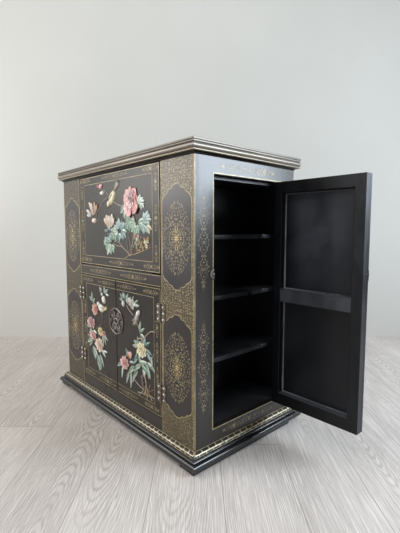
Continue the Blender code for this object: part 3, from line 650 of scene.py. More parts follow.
# Side frames.
# Stiles and rails round each side door, in dark brown-black lacquer rubbed to a satin.
# Gold lines edge the corner and the opening; strings of arabesques run down the stiles and along the rails.
def rubbed_lacquer(name, gloss, polish):
    """Brown-black lacquer. Gloss is the strength of its reflection and polish that of the wax on it."""
    look = Finish(name)
    cloud = look.noise(3.5, 4.0)
    speck = look.noise(420.0, 2.0)
    return look.set(
        Base_Color=look.mix(look.span(cloud, 0.3, 0.7), (0.016, 0.0125, 0.011), (0.027, 0.0215, 0.018)),
        Roughness=look.span(cloud, 0.3, 0.75, 0.25, 0.35),
        Specular_IOR_Level=gloss,
        Coat_Weight=polish,
        Coat_Roughness=0.20,
        Normal=look.bump(look.plus(look.noise(70.0, 2.0), speck), 0.04, 0.0015),
    )


dark_lacquer = rubbed_lacquer("dark_lacquer", 0.34, 0.20)
dress(["left_side_frame", "right_side_frame"], dark_lacquer)
frame_mesh = nodes["right_side_frame"].data
depths = sorted({round(v.co.y, 4) for v in frame_mesh.vertices})
levels = sorted({round(v.co.z, 4) for v in frame_mesh.vertices})
open_front, open_back, back_edge = depths[1], depths[-2], depths[-1]
open_foot, open_head = levels[1] - FOOT, levels[-2] - FOOT
OPENING_LINE = 0.0032
CORNER_INSET = 0.0022
FILM_HALF, FILM_GAP = 0.0025, 0.0005
STRING_W = 0.050
STRINGS = ((0.664, 0.250), (0.264, 0.256))
RAIL_WORK = 0.268
RAIL_PROFILE = (0.3, 0.9, 0.8, 1.0, 0.8, 0.9, 0.3)
RAIL_BLOOMS = (0.2, 0.5, 0.8)
line_off = OPENING_LINE / 2 + 0.001
corner = FRONT + CORNER_INSET
string_lace = lace(0.0215, 0.042, 0.0080, 5)
joint_y = (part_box("right_pilaster")[1].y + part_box("right_side_frame")[0].y) / 2
for side, place in (("left", on_left), ("right", on_right)):
    lines = Brush(place)
    lines.box(open_front - line_off, open_back + line_off, open_foot - line_off, open_head + line_off,
              OPENING_LINE)
    lines.stroke([(corner, END_GAP), (corner, HEIGHT - END_GAP)], EDGE_LINE)
    lines.finish(f"{side}_side_gold_line", gold, "cabinet")
    film = Brush(place, 0.00015)
    film.bar(joint_y - FILM_HALF, joint_y + FILM_HALF, FILM_GAP, HEIGHT - FILM_GAP)
    film.finish(f"{side}_corner_film", dark_lacquer, "cabinet")
    lines = Brush(place)
    for middle in ((FRONT + open_front) / 2 - 0.002, (open_back + back_edge) / 2):
        for height, length in STRINGS:
            lines.string(middle, height, length, STRING_W, 3, string_lace)
    for middle, height, wide in ((-0.003, (open_head + HEIGHT) / 2 + 0.001, 0.040),
                                 (0.009, open_foot / 2, 0.035)):
        lines.garland(middle, height, RAIL_WORK, wide, False, RAIL_PROFILE, RAIL_BLOOMS)
    lines.finish(f"{side}_side_gold_work", faded_gold, "cabinet")

# Frieze and bottom rails.
# Plain boards across the front above and below the doors, in the same dark lacquer.
# The frieze carries two long arabesques between gold lines.
dress(["frieze_rail", "bottom_rail"], dark_lacquer)
rail_low, rail_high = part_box("frieze_rail")
LINE_INSET = 0.0032
LINE_END = 0.004
RAIL_LINE = 0.0019
FRIEZE_WORK_X = 0.126
lines = Brush(on_front)
for z in (rail_low.z - FOOT + LINE_INSET, rail_high.z - FOOT - LINE_INSET):
    lines.stroke([(rail_low.x + LINE_END, z), (rail_high.x - LINE_END, z)], RAIL_LINE)
for x in (-FRIEZE_WORK_X, FRIEZE_WORK_X):
    lines.garland(x, (rail_low.z + rail_high.z) / 2 - FOOT, 0.172, 0.032)
lines.finish("frieze_gold_work", gold, "cabinet")

# Cornice and top.
# A run of moulding mitred at the corners, finished in rubbed bronze-gold, round a lacquered top board.
# The bead under the big half-round is painted paler as a highlight, and the hollow below it is painted near
# black as shade.
look = Finish("rubbed_gilt_moulding")
rise = look.math("SUBTRACT", look.axes()[2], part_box("cornice_moulding")[0].z)
streak = look.noise(9.0, 4.0, look.mapped((0.25, 0.25, 10.0)))
fleck = look.noise(160.0, 3.0)
bead = look.within(rise, 0.0074, 0.0090, 0.0125, 0.0140)
steps = look.span(rise, 0.0305, 0.0325)
bronze = look.mix(look.span(streak, 0.35, 0.7), (0.180, 0.157, 0.130), (0.330, 0.292, 0.243))
# The bead's paler gilt is a painted highlight.
painted_bead_highlight = look.mix(look.span(fleck, 0.3, 0.7), (0.250, 0.205, 0.145), (0.370, 0.315, 0.235))
cornice_colour = look.mix(look.times(bead, 0.9), bronze, painted_bead_highlight)
cornice_colour = look.mix(look.times(steps, 0.85), cornice_colour, (0.105, 0.090, 0.070))
# The hollow under the bead is painted near black: painted shade.
cornice_colour = look.mix(look.span(rise, 0.0076, 0.0062), cornice_colour, (0.010, 0.008, 0.007))
cornice_finish = look.set(
    Base_Color=cornice_colour,
    Metallic=look.span(streak, 0.3, 0.7, 0.25, 0.45),
    Roughness=look.span(fleck, 0.3, 0.7, 0.29, 0.37),
    Normal=look.bump(streak, 0.03, 0.0006),
)
dress(["cornice_moulding"], cornice_finish, 0.0006)
dress(["top_board"], dark_lacquer)

# Side doors.
# A lacquered board on a deep frame, so that the inside shows two sunk panels, all black satin within.
# The outside is dark lacquer; brass butts carry the door and a steel ball catch holds it.
look = Finish("side_door_lacquer")
x, y, z = look.axes()
RIGHT_OUTSIDE, LEFT_OUTSIDE = 0.1702, -SIDE + 0.0010
outside = look.math("MAXIMUM", look.span(y, RIGHT_OUTSIDE - 0.0002, RIGHT_OUTSIDE),
                    look.span(x, LEFT_OUTSIDE + 0.0002, LEFT_OUTSIDE))
smudge = look.noise(4.0, 5.0, look.mapped((1.0, 1.0, 0.6)), 0.8)
haze = look.noise(6.0, 5.0, None, 0.4)
inside_colour = look.mix(look.span(smudge, 0.42, 0.72), (0.0036, 0.0042, 0.0062), (0.0120, 0.0135, 0.0180))
# A bluish-grey cloud painted on the upper inside panel: a painted reflection.
along = look.plus(x, look.times(haze, 0.05))
middle = look.within(along, 0.545, 0.610, 0.735, 0.810)
high = look.times(look.span(z, 0.50, 0.74, 0.10, 1.0), look.span(z, 0.925, 0.860))
painted_reflection = look.times(look.times(middle, high), look.span(haze, 0.34, 0.62, 0.15, 1.0))
inside_colour = look.mix(painted_reflection, inside_colour, (0.0540, 0.0600, 0.0740))
door_board = look.set(
    Base_Color=look.mix(outside, inside_colour, (0.024, 0.019, 0.017)),
    Specular_IOR_Level=0.38,
    Roughness=look.span(look.plus(smudge, haze), 0.7, 1.3, 0.30, 0.50),
    Normal=look.bump(look.noise(60.0, 2.0), 0.04, 0.002),
)
dress(["left_side_door_board", "right_side_door_board"], door_board)
frame_mesh = nodes["right_side_door_frame"].data
runs = sorted({round(v.co.x, 4) for v in frame_mesh.vertices})
levels = sorted({round(v.co.z, 4) for v in frame_mesh.vertices})
look = Finish("door_frame_black")
smudge = look.noise(16.0, 5.0, look.mapped((1.0, 1.0, 0.5)), 0.5)
x, _, z = look.axes()
# The middle rail is painted paler and bluer: a painted sheen.
rail = look.within(z, levels[2] - 0.004, levels[2] + 0.004, levels[3] - 0.004, levels[3] + 0.004)
rail_run = look.within(x, runs[1] - 0.001, runs[1] + 0.001, runs[2] - 0.001, runs[2] + 0.001)
rail_painted_sheen = look.times(look.times(rail, rail_run), look.span(smudge, 0.3, 0.7, 0.5, 1.0))
handled = look.times(look.span(x, 0.70, 0.78, 0.10, 1.0), look.span(z, 0.45, 0.75, 0.25, 1.0))
blotch = look.times(look.span(smudge, 0.40, 0.72), handled)
frame_black = look.mix(blotch, (0.0030, 0.0035, 0.0050), (0.0280, 0.0320, 0.0410))
frame_black = look.mix(rail_painted_sheen, frame_black, (0.0660, 0.0730, 0.0850))
door_frame_black = look.set(
    # Faces that look up are painted paler and bluer: painted light from above.
    Base_Color=look.mix(look.upward(0.5, 0.9), frame_black, (0.085, 0.092, 0.105)),
    Specular_IOR_Level=0.34,
    Roughness=look.span(smudge, 0.3, 0.7, 0.34, 0.50),
)
dress(["left_side_door_frame", "right_side_door_frame"], door_frame_black, 0.0016)
# The bead is painted grey as a highlight line round each sunk panel, and near black where it looks down as
# painted shade.
look = Finish("panel_bead_black")
rub = look.noise(7.0, 3.0)
panel_bead_highlight = look.mix(look.span(rub, 0.36, 0.66), (0.040, 0.044, 0.052), (0.190, 0.200, 0.220))
bead_shade_and_highlight = look.set(
    Base_Color=look.mix(look.upward(-0.5, 0.0), (0.004, 0.004, 0.005), panel_bead_highlight),
    Roughness=look.span(rub, 0.3, 0.7, 0.22, 0.38),
)
BEAD = 0.0042


def panel_bead(name, body, flat, corners):
    """A quarter-round run of filler in the corner between a sunk panel and its frame, painted grey as a
    highlight line.
    """
    points, faces = [], []
    inside = ((1, 1), (-1, 1), (-1, -1), (1, -1))
    for (along, z), (to_along, to_z) in zip(corners, inside):
        for i in range(5):
            a = math.pi / 2 * i / 4
            off = BEAD * (1 - math.sin(a))
            points.append(flat(along + to_along * off, z + to_z * off, BEAD * (1 - math.cos(a))))
    for k in range(4):
        for i in range(4):
            a, b = 5 * k + i, 5 * ((k + 1) % 4) + i
            faces.append([a, b, b + 1, a + 1])
    piece(name, points, faces, bead_shade_and_highlight, body, True)


panel_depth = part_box("right_side_door_board")[0].y
left_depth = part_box("left_side_door_board")[1].x
left_runs = sorted({round(v.co.y, 4) for v in nodes["left_side_door_frame"].data.vertices})
for low, high, name in ((levels[1], levels[2], "lower"), (levels[3], levels[4], "upper")):
    panel_bead(f"right_door_{name}_bead", "right_side_door", lambda u, z, h: (u, panel_depth - h, z),
               ((runs[1], low), (runs[2], low), (runs[2], high), (runs[1], high)))
    panel_bead(f"left_door_{name}_bead", "left_side_door", lambda u, z, h: (left_depth + h, u, z),
               ((left_runs[1], low), (left_runs[2], low), (left_runs[2], high), (left_runs[1], high)))

board_low, board_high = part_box("right_side_door_board")


def on_right_door(u, v, lift):
    """The right door's outer face: it stands open, square to the side."""
    return (u, board_high.y + lift, FOOT + v)


DOOR_BORDERS = ((0.008, 0.0022), (0.046, 0.0018))
DOOR_MEDALS = (0.27, 0.73)
DOOR_MARK = 0.0098
door_lace = lace(0.092, 0.145, 0.0100, 6)
half = (board_high.x - board_low.x) / 2
foot, head = board_low.z - FOOT, board_high.z - FOOT
for side, place, middle in (("left", on_left, (open_front + open_back) / 2),
                            ("right", on_right_door, (board_low.x + board_high.x) / 2)):
    lines = Brush(place)
    for inset, width in DOOR_BORDERS:
        lines.box(middle - half + inset, middle + half - inset, foot + inset, head - inset, width)
    for share in DOOR_MEDALS:
        medal((lines, lines, lines), middle, foot + (head - foot) * share, door_lace, DOOR_MARK)
    lines.finish(f"{side}_side_door_gold_work", gold, f"{side}_side_door")

look = Finish("dark_bronze")
rub = look.noise(85.0, 4.0)
dark_bronze = look.set(
    Base_Color=look.mix(look.span(rub, 0.35, 0.7), (0.040, 0.032, 0.027), (0.160, 0.132, 0.110)),
    Metallic=look.span(rub, 0.3, 0.7, 0.6, 0.9),
    Roughness=look.span(rub, 0.3, 0.7, 0.30, 0.48),
    Normal=look.bump(rub, 0.2, 0.0005),
)
worn_brass = rubbed("worn_brass", (110.0, 4.0), (0.35, 0.7), (0.200, 0.140, 0.060), (0.470, 0.350, 0.165),
                    (0.26, 0.45), 0.9)
bright_steel = rubbed("bright_steel", (150.0, 3.0), (0.0, 1.0), (0.500, 0.490, 0.480), (0.720, 0.710, 0.700),
                      (0.18, 0.32), 1.0)
dress([n for n in nodes if n.endswith("_plate")], dark_bronze)
dress([n for n in nodes if "side_hinge" in n], worn_brass)
dress(["left_side_door_catch", "right_side_door_catch"], bright_steel)

# Fall flap.
# A lacquered board that drops on a blackened strip hinge along its foot, framed in gold lines.
# Carved stones are glued to it: a coral peony with jade leaves, a bird on a twig, buds and small flowers.
blackened = rubbed("blackened_hinge", (60.0, 3.0), (0.0, 1.0), (0.006, 0.005, 0.005), (0.022, 0.018, 0.014),
                   (0.38, 0.55), 0.6)
dress(["flap_hinge_fixed", "flap_hinge_moving"], blackened)
leaf_lacquer = rubbed_lacquer("leaf_lacquer", 0.25, 0.15)
LEAF_THICKNESS = 0.020


def leaf_board(name, node, body):
    """The plain board of a leaf, in place of the CAD leaf whose stones are fused to it."""
    low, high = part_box(node)
    low.y = high.y - LEAF_THICKNESS
    working = bmesh.new()
    bmesh.ops.create_cube(working, size=1.0)
    for vertex in working.verts:
        vertex.co = [low[i] + (vertex.co[i] + 0.5) * (high[i] - low[i]) for i in range(3)]
    bmesh.ops.bevel(working, geom=list(working.edges), offset=0.0010, segments=2, affect="EDGES")
    mesh = bpy.data.meshes.new(name)
    working.to_mesh(mesh)
    working.free()
    # Edge faces take black satin, so that the gaps round each leaf show dark: painted shade.
    for finish in (leaf_lacquer, black_satin):
        mesh.materials.append(finish)
    for face in mesh.polygons:
        face.material_index = 0 if face.normal.y < -0.5 else 1
    made = bpy.data.objects.new(name, mesh)
    bpy.context.scene.collection.objects.link(made)
    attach(made, body)
    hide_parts(node)
    return low, high


flap_low, flap_high = leaf_board("flap_panel", "flap", "flap")
lines = Brush(on_front)
foot, head = flap_low.z - FOOT, flap_high.z - FOOT
FLAP_LINE, FLAP_FIELD_LINE = 0.0024, 0.0020
FLAP_FIELD_X, FLAP_FIELD_FOOT, FLAP_FIELD_HEAD = 0.257, 0.593, 0.8955
BORDER_X, BORDER_FOOT, BORDER_HEAD = 0.2770, 0.5757, 0.9120
CORNER_PROFILE = (0.5, 0.9, 1.0, 0.9, 0.5)
lines.box(flap_low.x + LINE_INSET, flap_high.x - LINE_INSET, foot + LINE_INSET, head - LINE_INSET, FLAP_LINE)
lines.box(-FLAP_FIELD_X, FLAP_FIELD_X, FLAP_FIELD_FOOT, FLAP_FIELD_HEAD, FLAP_FIELD_LINE)
lines.garland(0.042, BORDER_FOOT, 0.172, 0.029)
lines.garland(0.0, BORDER_HEAD, 0.190, 0.026)
for sign in (-1, 1):
    for z, length in ((0.744, 0.082), (0.622, 0.048), (0.865, 0.048)):
        lines.garland(sign * BORDER_X, z, length, 0.030, True)
    for z in (BORDER_FOOT, BORDER_HEAD):
        lines.garland(sign * 0.247, z, 0.086, 0.028, False, CORNER_PROFILE)
lines.finish("flap_gold_work", gold, "flap")

look = Finish("carved_stone")
tint = look.painted("stone")["Color"]
vein = look.noise(120.0, 5.0, None, 1.2)
grain = look.noise(420.0, 3.0)
# An ambient occlusion node darkens the stones in their hollows and creases: painted shade.
hollow = look.tree.nodes.new("ShaderNodeAmbientOcclusion")
hollow.only_local = True
look.put(hollow.inputs["Distance"], 0.004)
stained = look.mix(1.0, tint, (0.60, 0.57, 0.55), "MULTIPLY")
veined = look.mix(look.span(vein, 0.40, 0.72, 0.0, 0.28), tint, stained)
polished = look.mix(look.span(grain, 0.55, 0.8, 0.0, 0.35), veined, (0.90, 0.87, 0.82))
painted_crevice_shade = look.mix(1.0, tint, (0.40, 0.32, 0.30), "MULTIPLY")
stone = look.set(
    Base_Color=look.mix(look.span(hollow.outputs["AO"], 0.30, 0.80), painted_crevice_shade, polished),
    Roughness=look.span(vein, 0.3, 0.7, 0.20, 0.36),
    Coat_Weight=0.25,
    Coat_Roughness=0.12,
    Normal=look.bump(look.plus(vein, grain), 0.2, 0.0006),
)


LEAF_RISE = 0.0034


def metres(*millimetres):
    """Lengths of the stone tables, which are written in millimetres."""
    return [length / 1000 for length in millimetres]


class Carving:
    """Low reliefs on the front, as (x, height over the foot, rise off the face), coloured point by point."""

    def __init__(self, grain):
        self.points = []
        self.faces = []
        self.colours = []
        self.pick = random.Random(grain)

    def patch(self, rows, deep, pale, skirt):
        """A grid of (x, z, rise, tone) made into a slab whose rim drops to the skirt's rise."""
        start = len(self.points)
        wide, tall = len(rows[0]), len(rows)
        for row in rows:
            for x, z, rise, tone in row:
                self.points.append(on_front(x, z, rise))
                tone = min(max(tone, 0.0), 1.0)
                self.colours.append([d + (p - d) * tone for d, p in zip(deep, pale)] + [1.0])
        for i in range(tall - 1):
            for j in range(wide - 1):
                a = start + i * wide + j
                self.faces.append([a, a + 1, a + wide + 1, a + wide])
        rim = [start + j for j in range(wide)]
        rim += [start + i * wide + wide - 1 for i in range(1, tall)]
        rim += [start + (tall - 1) * wide + j for j in range(wide - 2, -1, -1)]
        rim += [start + i * wide for i in range(tall - 2, 0, -1)]
        foot = len(self.points)
        for index in rim:
            x, _, z = self.points[index]
            self.points.append((x, FRONT - skirt, z))
            # The skirt takes 0.45 of the rim's colour: painted shade that draws dark lines round each stone.
            self.colours.append([c * 0.45 for c in self.colours[index][:3]] + [1.0])
        for i in range(len(rim)):
            j = (i + 1) % len(rim)
            self.faces.append([rim[i], rim[j], foot + j, foot + i])

    def petal(self, x, z, angle, length, width, base, lift, deep, pale, frill=0.035, narrow=0.42):
        """A fan-shaped petal with a waved edge, cupped so that its rim stands up."""
        c, s = math.cos(angle), math.sin(angle)
        phase = self.pick.uniform(0.0, 6.0)
        shift = self.pick.uniform(-0.20, 0.24)
        rows = []
        for i in range(7):
            share = i / 6
            row = []
            for j in range(9):
                across = j / 4 - 1
                along = length * share * (1 - 0.26 * across * across * share)
                along += length * frill * math.cos(4.5 * across + phase) * share ** 3
                spread = narrow + (1 - narrow) * math.sin(math.pi * min(share * 0.66, 0.5))
                side = across * width / 2 * spread
                flute = math.cos(8 * across + phase)
                rise = base + lift * share ** 1.4 * (1 - 0.5 * across * across) + 0.0004 * flute * share
                tone = 0.06 + 0.62 * min(max((share - 0.30) / 0.60, 0.0), 1.0) - 0.30 * across * across
                # The rim row is painted paler: a painted highlight.
                tone += 0.10 * flute * share + shift + (0.32 if i == 6 else 0.0)
                row.append((x + along * c - side * s, z + along * s + side * c, rise, tone))
            rows.append(row)
        self.patch(rows, deep, pale, max(base - 0.0018, -0.0002))

    def rose(self, x, z, radius, deep, pale, flat, layers, turn):
        """A full peony: rings of overlapping petals that close and stand higher towards the heart."""
        top = min(0.0062, radius * 0.17)
        for ring in range(layers):
            share = ring / layers
            count = max(8 - ring, 3)
            reach = radius * (1.0 - 0.86 * share)
            for i in range(count):
                a = turn + 2 * math.pi * (i + 0.45 * ring) / count + self.pick.uniform(-0.14, 0.14)
                inner = reach * 0.14
                length = reach * self.pick.uniform(0.88, 1.04) - inner
                squeeze = math.hypot(math.cos(a), flat * math.sin(a))
                angle = math.atan2(flat * math.sin(a), math.cos(a))
                wide = 4.4 * reach / count * (0.5 + 0.5 * squeeze)
                base = 0.0010 + top * share
                spot = (x + inner * math.cos(a), z + inner * flat * math.sin(a))
                self.petal(*spot, angle, length * squeeze, wide, base, 0.0022 + 0.0010 * share, deep, pale)
        self.bead(x, z, radius * 0.10, radius * 0.10 * flat, top + 0.0032, deep, pale)

    def bead(self, x, z, half_x, half_z, rise, deep, pale, angle=0.0, base=0.0):
        """A rounded stone, such as a bud, a berry or a bird's body."""
        c, s = math.cos(angle), math.sin(angle)
        rows = []
        for i in range(6):
            share = 1 - i / 5 * 0.98
            row = []
            for j in range(17):
                a = 2 * math.pi * j / 16
                u, v = half_x * share * math.cos(a), half_z * share * math.sin(a)
                up = base + (rise - base) * math.sqrt(max(1 - share ** 2.2, 0.0)) + 0.0004
                # Paler at the crown and deeper at the foot: a painted highlight and shade on the round.
                tone = 0.25 + 0.65 * (1 - share ** 2) + self.pick.uniform(-0.06, 0.06)
                row.append((x + u * c - v * s, z + u * s + v * c, up, tone))
            rows.append(row)
        self.patch(rows, deep, pale, base - 0.0002)

    def leaf(self, x, z, angle, length, width, rise, deep, pale, bend=0.0, teeth=0.0):
        """A leaf from its stalk to its point, ridged along the rib and cut with side veins."""
        shift = self.pick.uniform(-0.34, 0.34)
        steps = 13
        rows = []
        for i in range(steps):
            share = i / (steps - 1)
            turned = angle + bend * (share - 0.3)
            cx = x + length * share * math.cos(angle + bend * share * 0.5)
            cz = z + length * share * math.sin(angle + bend * share * 0.5)
            half = width / 2 * math.sin(math.pi * (0.06 + 0.93 * share ** 0.8)) ** 0.85
            half *= 1 + teeth * (1 if i % 2 else -1) * (1 - share)
            swell = 0.45 + 0.55 * math.sin(math.pi * min(share + 0.12, 1.0))
            row = []
            for j in range(9):
                across = j / 4 - 1
                cut = math.cos(26 * share + 7 * abs(across))
                up = 0.0006 + rise * (1 - 0.62 * abs(across)) * swell + 0.00025 * cut
                # One half of each leaf is painted lighter and the other darker, as painted light and shade,
                # and the edge paler as a painted highlight.
                tone = 0.36 + 0.22 * share + 0.22 * cut + shift + (0.30 if across > 0 else -0.24)
                tone += 0.26 * (abs(across) > 0.9)
                if j == 4:
                    up -= 0.0007
                    tone -= 0.34
                aside = across * half
                row.append((cx - aside * math.sin(turned), cz + aside * math.cos(turned), up, tone))
            rows.append(row)
        self.patch(rows, deep, pale, -0.0002)

    def spray(self, x, z, angle, size, deep, pale, fan=3):
        """A peony leaf: pointed leaflets fanned from one stalk."""
        for i in range(fan):
            off = (i - (fan - 1) / 2) * 0.62
            length = size * (1.0 - 0.22 * abs(off)) * self.pick.uniform(0.90, 1.06)
            bend = self.pick.uniform(-0.25, 0.25)
            self.leaf(x, z, angle + off, length, length * 0.54, LEAF_RISE, deep, pale, bend, 0.10)

    def branch(self, course, start, end, deep, pale):
        """A knotty twig that bends smoothly through the given places, from start to end radius."""
        bends = [course[0]] + list(course) + [course[-1]]
        line = []
        for p0, p1, p2, p3 in zip(bends, bends[1:], bends[2:], bends[3:]):
            for k in range(6):
                t = k / 6
                line.append([
                    0.5 * (2 * b + (c - a) * t + (2 * a - 5 * b + 4 * c - d) * t * t
                           + (3 * b - a - 3 * c + d) * t ** 3)
                    for a, b, c, d in zip(p0, p1, p2, p3)
                ])
        line.append(list(course[-1]))
        last = len(line) - 1
        rows = []
        for i, (x, z) in enumerate(line):
            x0, z0 = line[max(i - 1, 0)]
            x1, z1 = line[min(i + 1, last)]
            length = math.hypot(x1 - x0, z1 - z0) or 1.0
            radius = start + (end - start) * i / last
            radius *= 1 + 0.18 * math.sin(i * 1.9) + self.pick.uniform(-0.08, 0.08)
            row = []
            for j in range(7):
                a = math.pi * j / 6
                side = radius * math.cos(a) / length
                # Paler along the crest and deeper down the sides: a painted highlight and shade on the round.
                tone = 0.2 + 0.6 * math.sin(a) + self.pick.uniform(-0.15, 0.15)
                up = radius * 1.3 * math.sin(a) + 0.0002
                row.append((x - (z1 - z0) * side, z + (x1 - x0) * side, up, tone))
            rows.append(row)
        self.patch(rows, deep, pale, -0.0002)

    def bird(self, x, z, angle, length, body, wing, tail, hand=1, cocked=0.0):
        """A perched bird from the side. The angle runs from rump to head, and cocked turns the tail up."""
        c, s = math.cos(angle), math.sin(angle)

        def at(along, across):
            across *= hand
            return (x + length * (along * c - across * s), z + length * (along * s + across * c))

        for fan in (-0.16, 0.0, 0.16):
            back = angle + math.pi - hand * cocked + fan
            self.leaf(*at(-0.24, 0.02), back, length * 0.54, length * 0.095, 0.0030, *tail)
        self.bead(*at(0.02, 0.0), length * 0.33, length * 0.205, 0.0070, *body, angle)
        self.bead(*at(0.35, 0.045), length * 0.140, length * 0.125, 0.0076, *body, angle, 0.001)
        self.leaf(*at(0.45, 0.045), angle - 0.25 * hand, length * 0.13, length * 0.05, 0.0040, *BEAK)
        for k in range(6):
            root = at(0.22 - 0.035 * k, 0.085 - 0.038 * k)
            back = angle + math.pi + (0.16 - 0.10 * k - 0.5 * cocked) * hand
            self.leaf(*root, back, length * (0.54 - 0.035 * k), length * 0.100, 0.0088 - 0.0004 * k, *wing)
        self.bead(*at(0.385, 0.070), length * 0.018, length * 0.018, 0.0088, *EYE, 0.0, 0.004)
        for step in (0.02, 0.10):
            foot = at(step, -0.14)
            self.branch([foot, (foot[0] + 0.002, foot[1] - 0.010)], 0.0008, 0.0007, *TWIG)

    def branches(self, rows):
        """Twigs as (start radius, end radius, colours, places). Rows of all tables are in millimetres."""
        for start, end, tone, *course in rows:
            self.branch([metres(*place) for place in course], *metres(start, end), *tone)

    def sprays(self, rows):
        """Peony leaves as (x, height, angle, size, colours), with a count of leaflets if it isn't three."""
        for x, z, angle, size, tone, *fan in rows:
            x, z, size = metres(x, z, size)
            self.spray(x, z, angle, size, *tone, *fan)

    def leaves(self, rows):
        """Leaves as (x, height, angle, length, width, colours)."""
        for x, z, angle, length, width, tone in rows:
            x, z, length, width = metres(x, z, length, width)
            self.leaf(x, z, angle, length, width, LEAF_RISE, *tone, self.pick.uniform(-0.3, 0.3))

    def petals(self, rows):
        """Loose petals as (x, height, angle, length, width, colours)."""
        for x, z, angle, length, width, tone in rows:
            x, z, length, width = metres(x, z, length, width)
            self.petal(x, z, angle, length, width, 0.0012, 0.0040, *tone, 0.02, 0.46)

    def roses(self, rows):
        """Peonies as (x, height, radius, colours, height over width, rings of petals, turn)."""
        for x, z, radius, tone, *shape in rows:
            self.rose(*metres(x, z, radius), *tone, *shape)

    def finish(self, name, body, material=stone, slot="dark_lacquer"):
        made = piece(name, self.points, self.faces, material, body, True)
        store = made.data.color_attributes.new("stone", "FLOAT_COLOR", "POINT")
        store.data.foreach_set("color", [c for colour in self.colours for c in colour])
        return made


CORAL = ((0.280, 0.018, 0.024), (0.860, 0.410, 0.370))
ROSE = ((0.420, 0.070, 0.075), (0.980, 0.680, 0.640))
DUSTY = ((0.240, 0.080, 0.095), (0.840, 0.570, 0.570))
PEACH = ((0.420, 0.100, 0.050), (0.960, 0.620, 0.480))
SHELL = ((0.480, 0.260, 0.180), (0.980, 0.860, 0.760))
CREAM = ((0.440, 0.290, 0.160), (0.980, 0.920, 0.780))
WHITE = ((0.420, 0.380, 0.330), (0.970, 0.950, 0.900))
BUTTER = ((0.600, 0.490, 0.220), (0.990, 0.960, 0.720))
BLUSH = ((0.500, 0.280, 0.250), (0.950, 0.820, 0.780))
AMBER = ((0.200, 0.080, 0.030), (0.680, 0.420, 0.240))
JADE = ((0.030, 0.085, 0.055), (0.470, 0.670, 0.500))
TEAL = ((0.028, 0.080, 0.080), (0.420, 0.600, 0.560))
PALE_JADE = ((0.100, 0.190, 0.140), (0.770, 0.890, 0.760))
GREY_JADE = ((0.060, 0.100, 0.075), (0.560, 0.660, 0.540))
TWIG = ((0.110, 0.078, 0.056), (0.500, 0.400, 0.310))
BARK = ((0.050, 0.030, 0.020), (0.270, 0.180, 0.125))
OCHRE = ((0.140, 0.080, 0.020), (0.560, 0.400, 0.160))
OLIVE = ((0.240, 0.200, 0.100), (0.920, 0.880, 0.620))
OLIVE_WING = ((0.110, 0.088, 0.040), (0.760, 0.700, 0.440))
UMBER = ((0.080, 0.052, 0.032), (0.520, 0.430, 0.310))
GREY = ((0.170, 0.150, 0.140), (0.700, 0.660, 0.630))
STRAW = ((0.480, 0.380, 0.100), (0.960, 0.900, 0.530))
CRIMSON = ((0.200, 0.020, 0.050), (0.560, 0.130, 0.190))
BEAK = ((0.080, 0.050, 0.030), (0.400, 0.300, 0.180))
EYE = ((0.010, 0.010, 0.010), (0.050, 0.040, 0.040))

work = Carving(1)
work.branches((
    (2, 1.2, TWIG, (114, 606), (90, 622), (52, 640), (20, 642), (-12, 650)),
    (1.5, 1, TWIG, (60, 636), (40, 652), (6, 664)),
    (1.8, 1.2, TWIG, (112, 606), (116, 640), (106, 684), (112, 712)),
    (1.4, 1, TWIG, (116, 606), (134, 640), (130, 680), (146, 716)),
    (1.4, 1, TWIG, (108, 608), (92, 650), (96, 690), (86, 716)),
    (1.6, 1.1, TWIG, (120, 610), (128, 650), (148, 682), (176, 700)),
    (1.7, 1.1, TWIG, (122, 640), (134, 672), (140, 704)),
    (3.6, 2.6, TWIG, (132, 778), (138, 756), (150, 734)),
    (2.2, 1.2, OCHRE, (74, 594), (104, 608), (150, 616), (200, 630), (246, 644)),
    (1.6, 1, OCHRE, (150, 616), (170, 636), (190, 652)),
    (1.5, 1, OCHRE, (196, 630), (214, 652), (234, 672)),
    (1.4, 1, OCHRE, (150, 640), (158, 656), (162, 672)),
    (2.3, 1.6, TWIG, (-150, 740), (-142, 772), (-118, 792), (-86, 818), (-34, 836)),
    (1.4, 1.2, TWIG, (-86, 866), (-62, 856), (-40, 840)),
    (2.1, 1.7, TWIG, (4, 812), (24, 802), (62, 792)),
    (1.6, 1, TWIG, (-150, 740), (-128, 748), (-112, 764)),
    (1.4, 1, TEAL, (-46, 716), (-52, 690), (-40, 668)),
))
work.finish("flap_branches", "flap")

work = Carving(2)
work.sprays((
    (168, 796, 0.45, 46, PALE_JADE), (180, 800, -0.55, 36, PALE_JADE), (82, 798, -1.75, 56, PALE_JADE),
    (104, 762, -2.0, 40, JADE), (210, 732, 1.0, 44, TEAL), (216, 738, 0.0, 36, PALE_JADE),
    (196, 728, -0.8, 50, TEAL), (172, 730, -0.4, 46, JADE), (222, 718, -0.7, 38, OLIVE, 2),
    (150, 732, 3.5, 52, JADE), (138, 724, -1.5, 42, PALE_JADE), (112, 734, 3.9, 48, JADE),
    (160, 718, -1.1, 38, JADE), (62, 706, 1.9, 38, TEAL), (36, 708, 1.6, 42, TEAL),
    (54, 698, -0.6, 42, TEAL), (26, 698, 3.0, 46, PALE_JADE), (34, 690, -1.4, 36, TEAL),
    (8, 692, 3.9, 42, JADE), (80, 712, 0.3, 34, JADE), (-24, 658, 2.0, 38, TEAL), (-40, 652, 3.2, 50, JADE),
    (-36, 648, -2.2, 52, PALE_JADE), (-26, 642, -1.0, 38, JADE), (-62, 648, 2.5, 34, PALE_JADE, 2),
))
work.leaves([(x, z, angle, 24, 11, TEAL) for x, z, angle in (
    (-44, 716, -2.4), (-46, 716, -0.9), (-58, 700, 3.0), (-30, 700, 0.3), (-30, 690, -0.4),
)])
work.finish("flap_leaves", "flap")

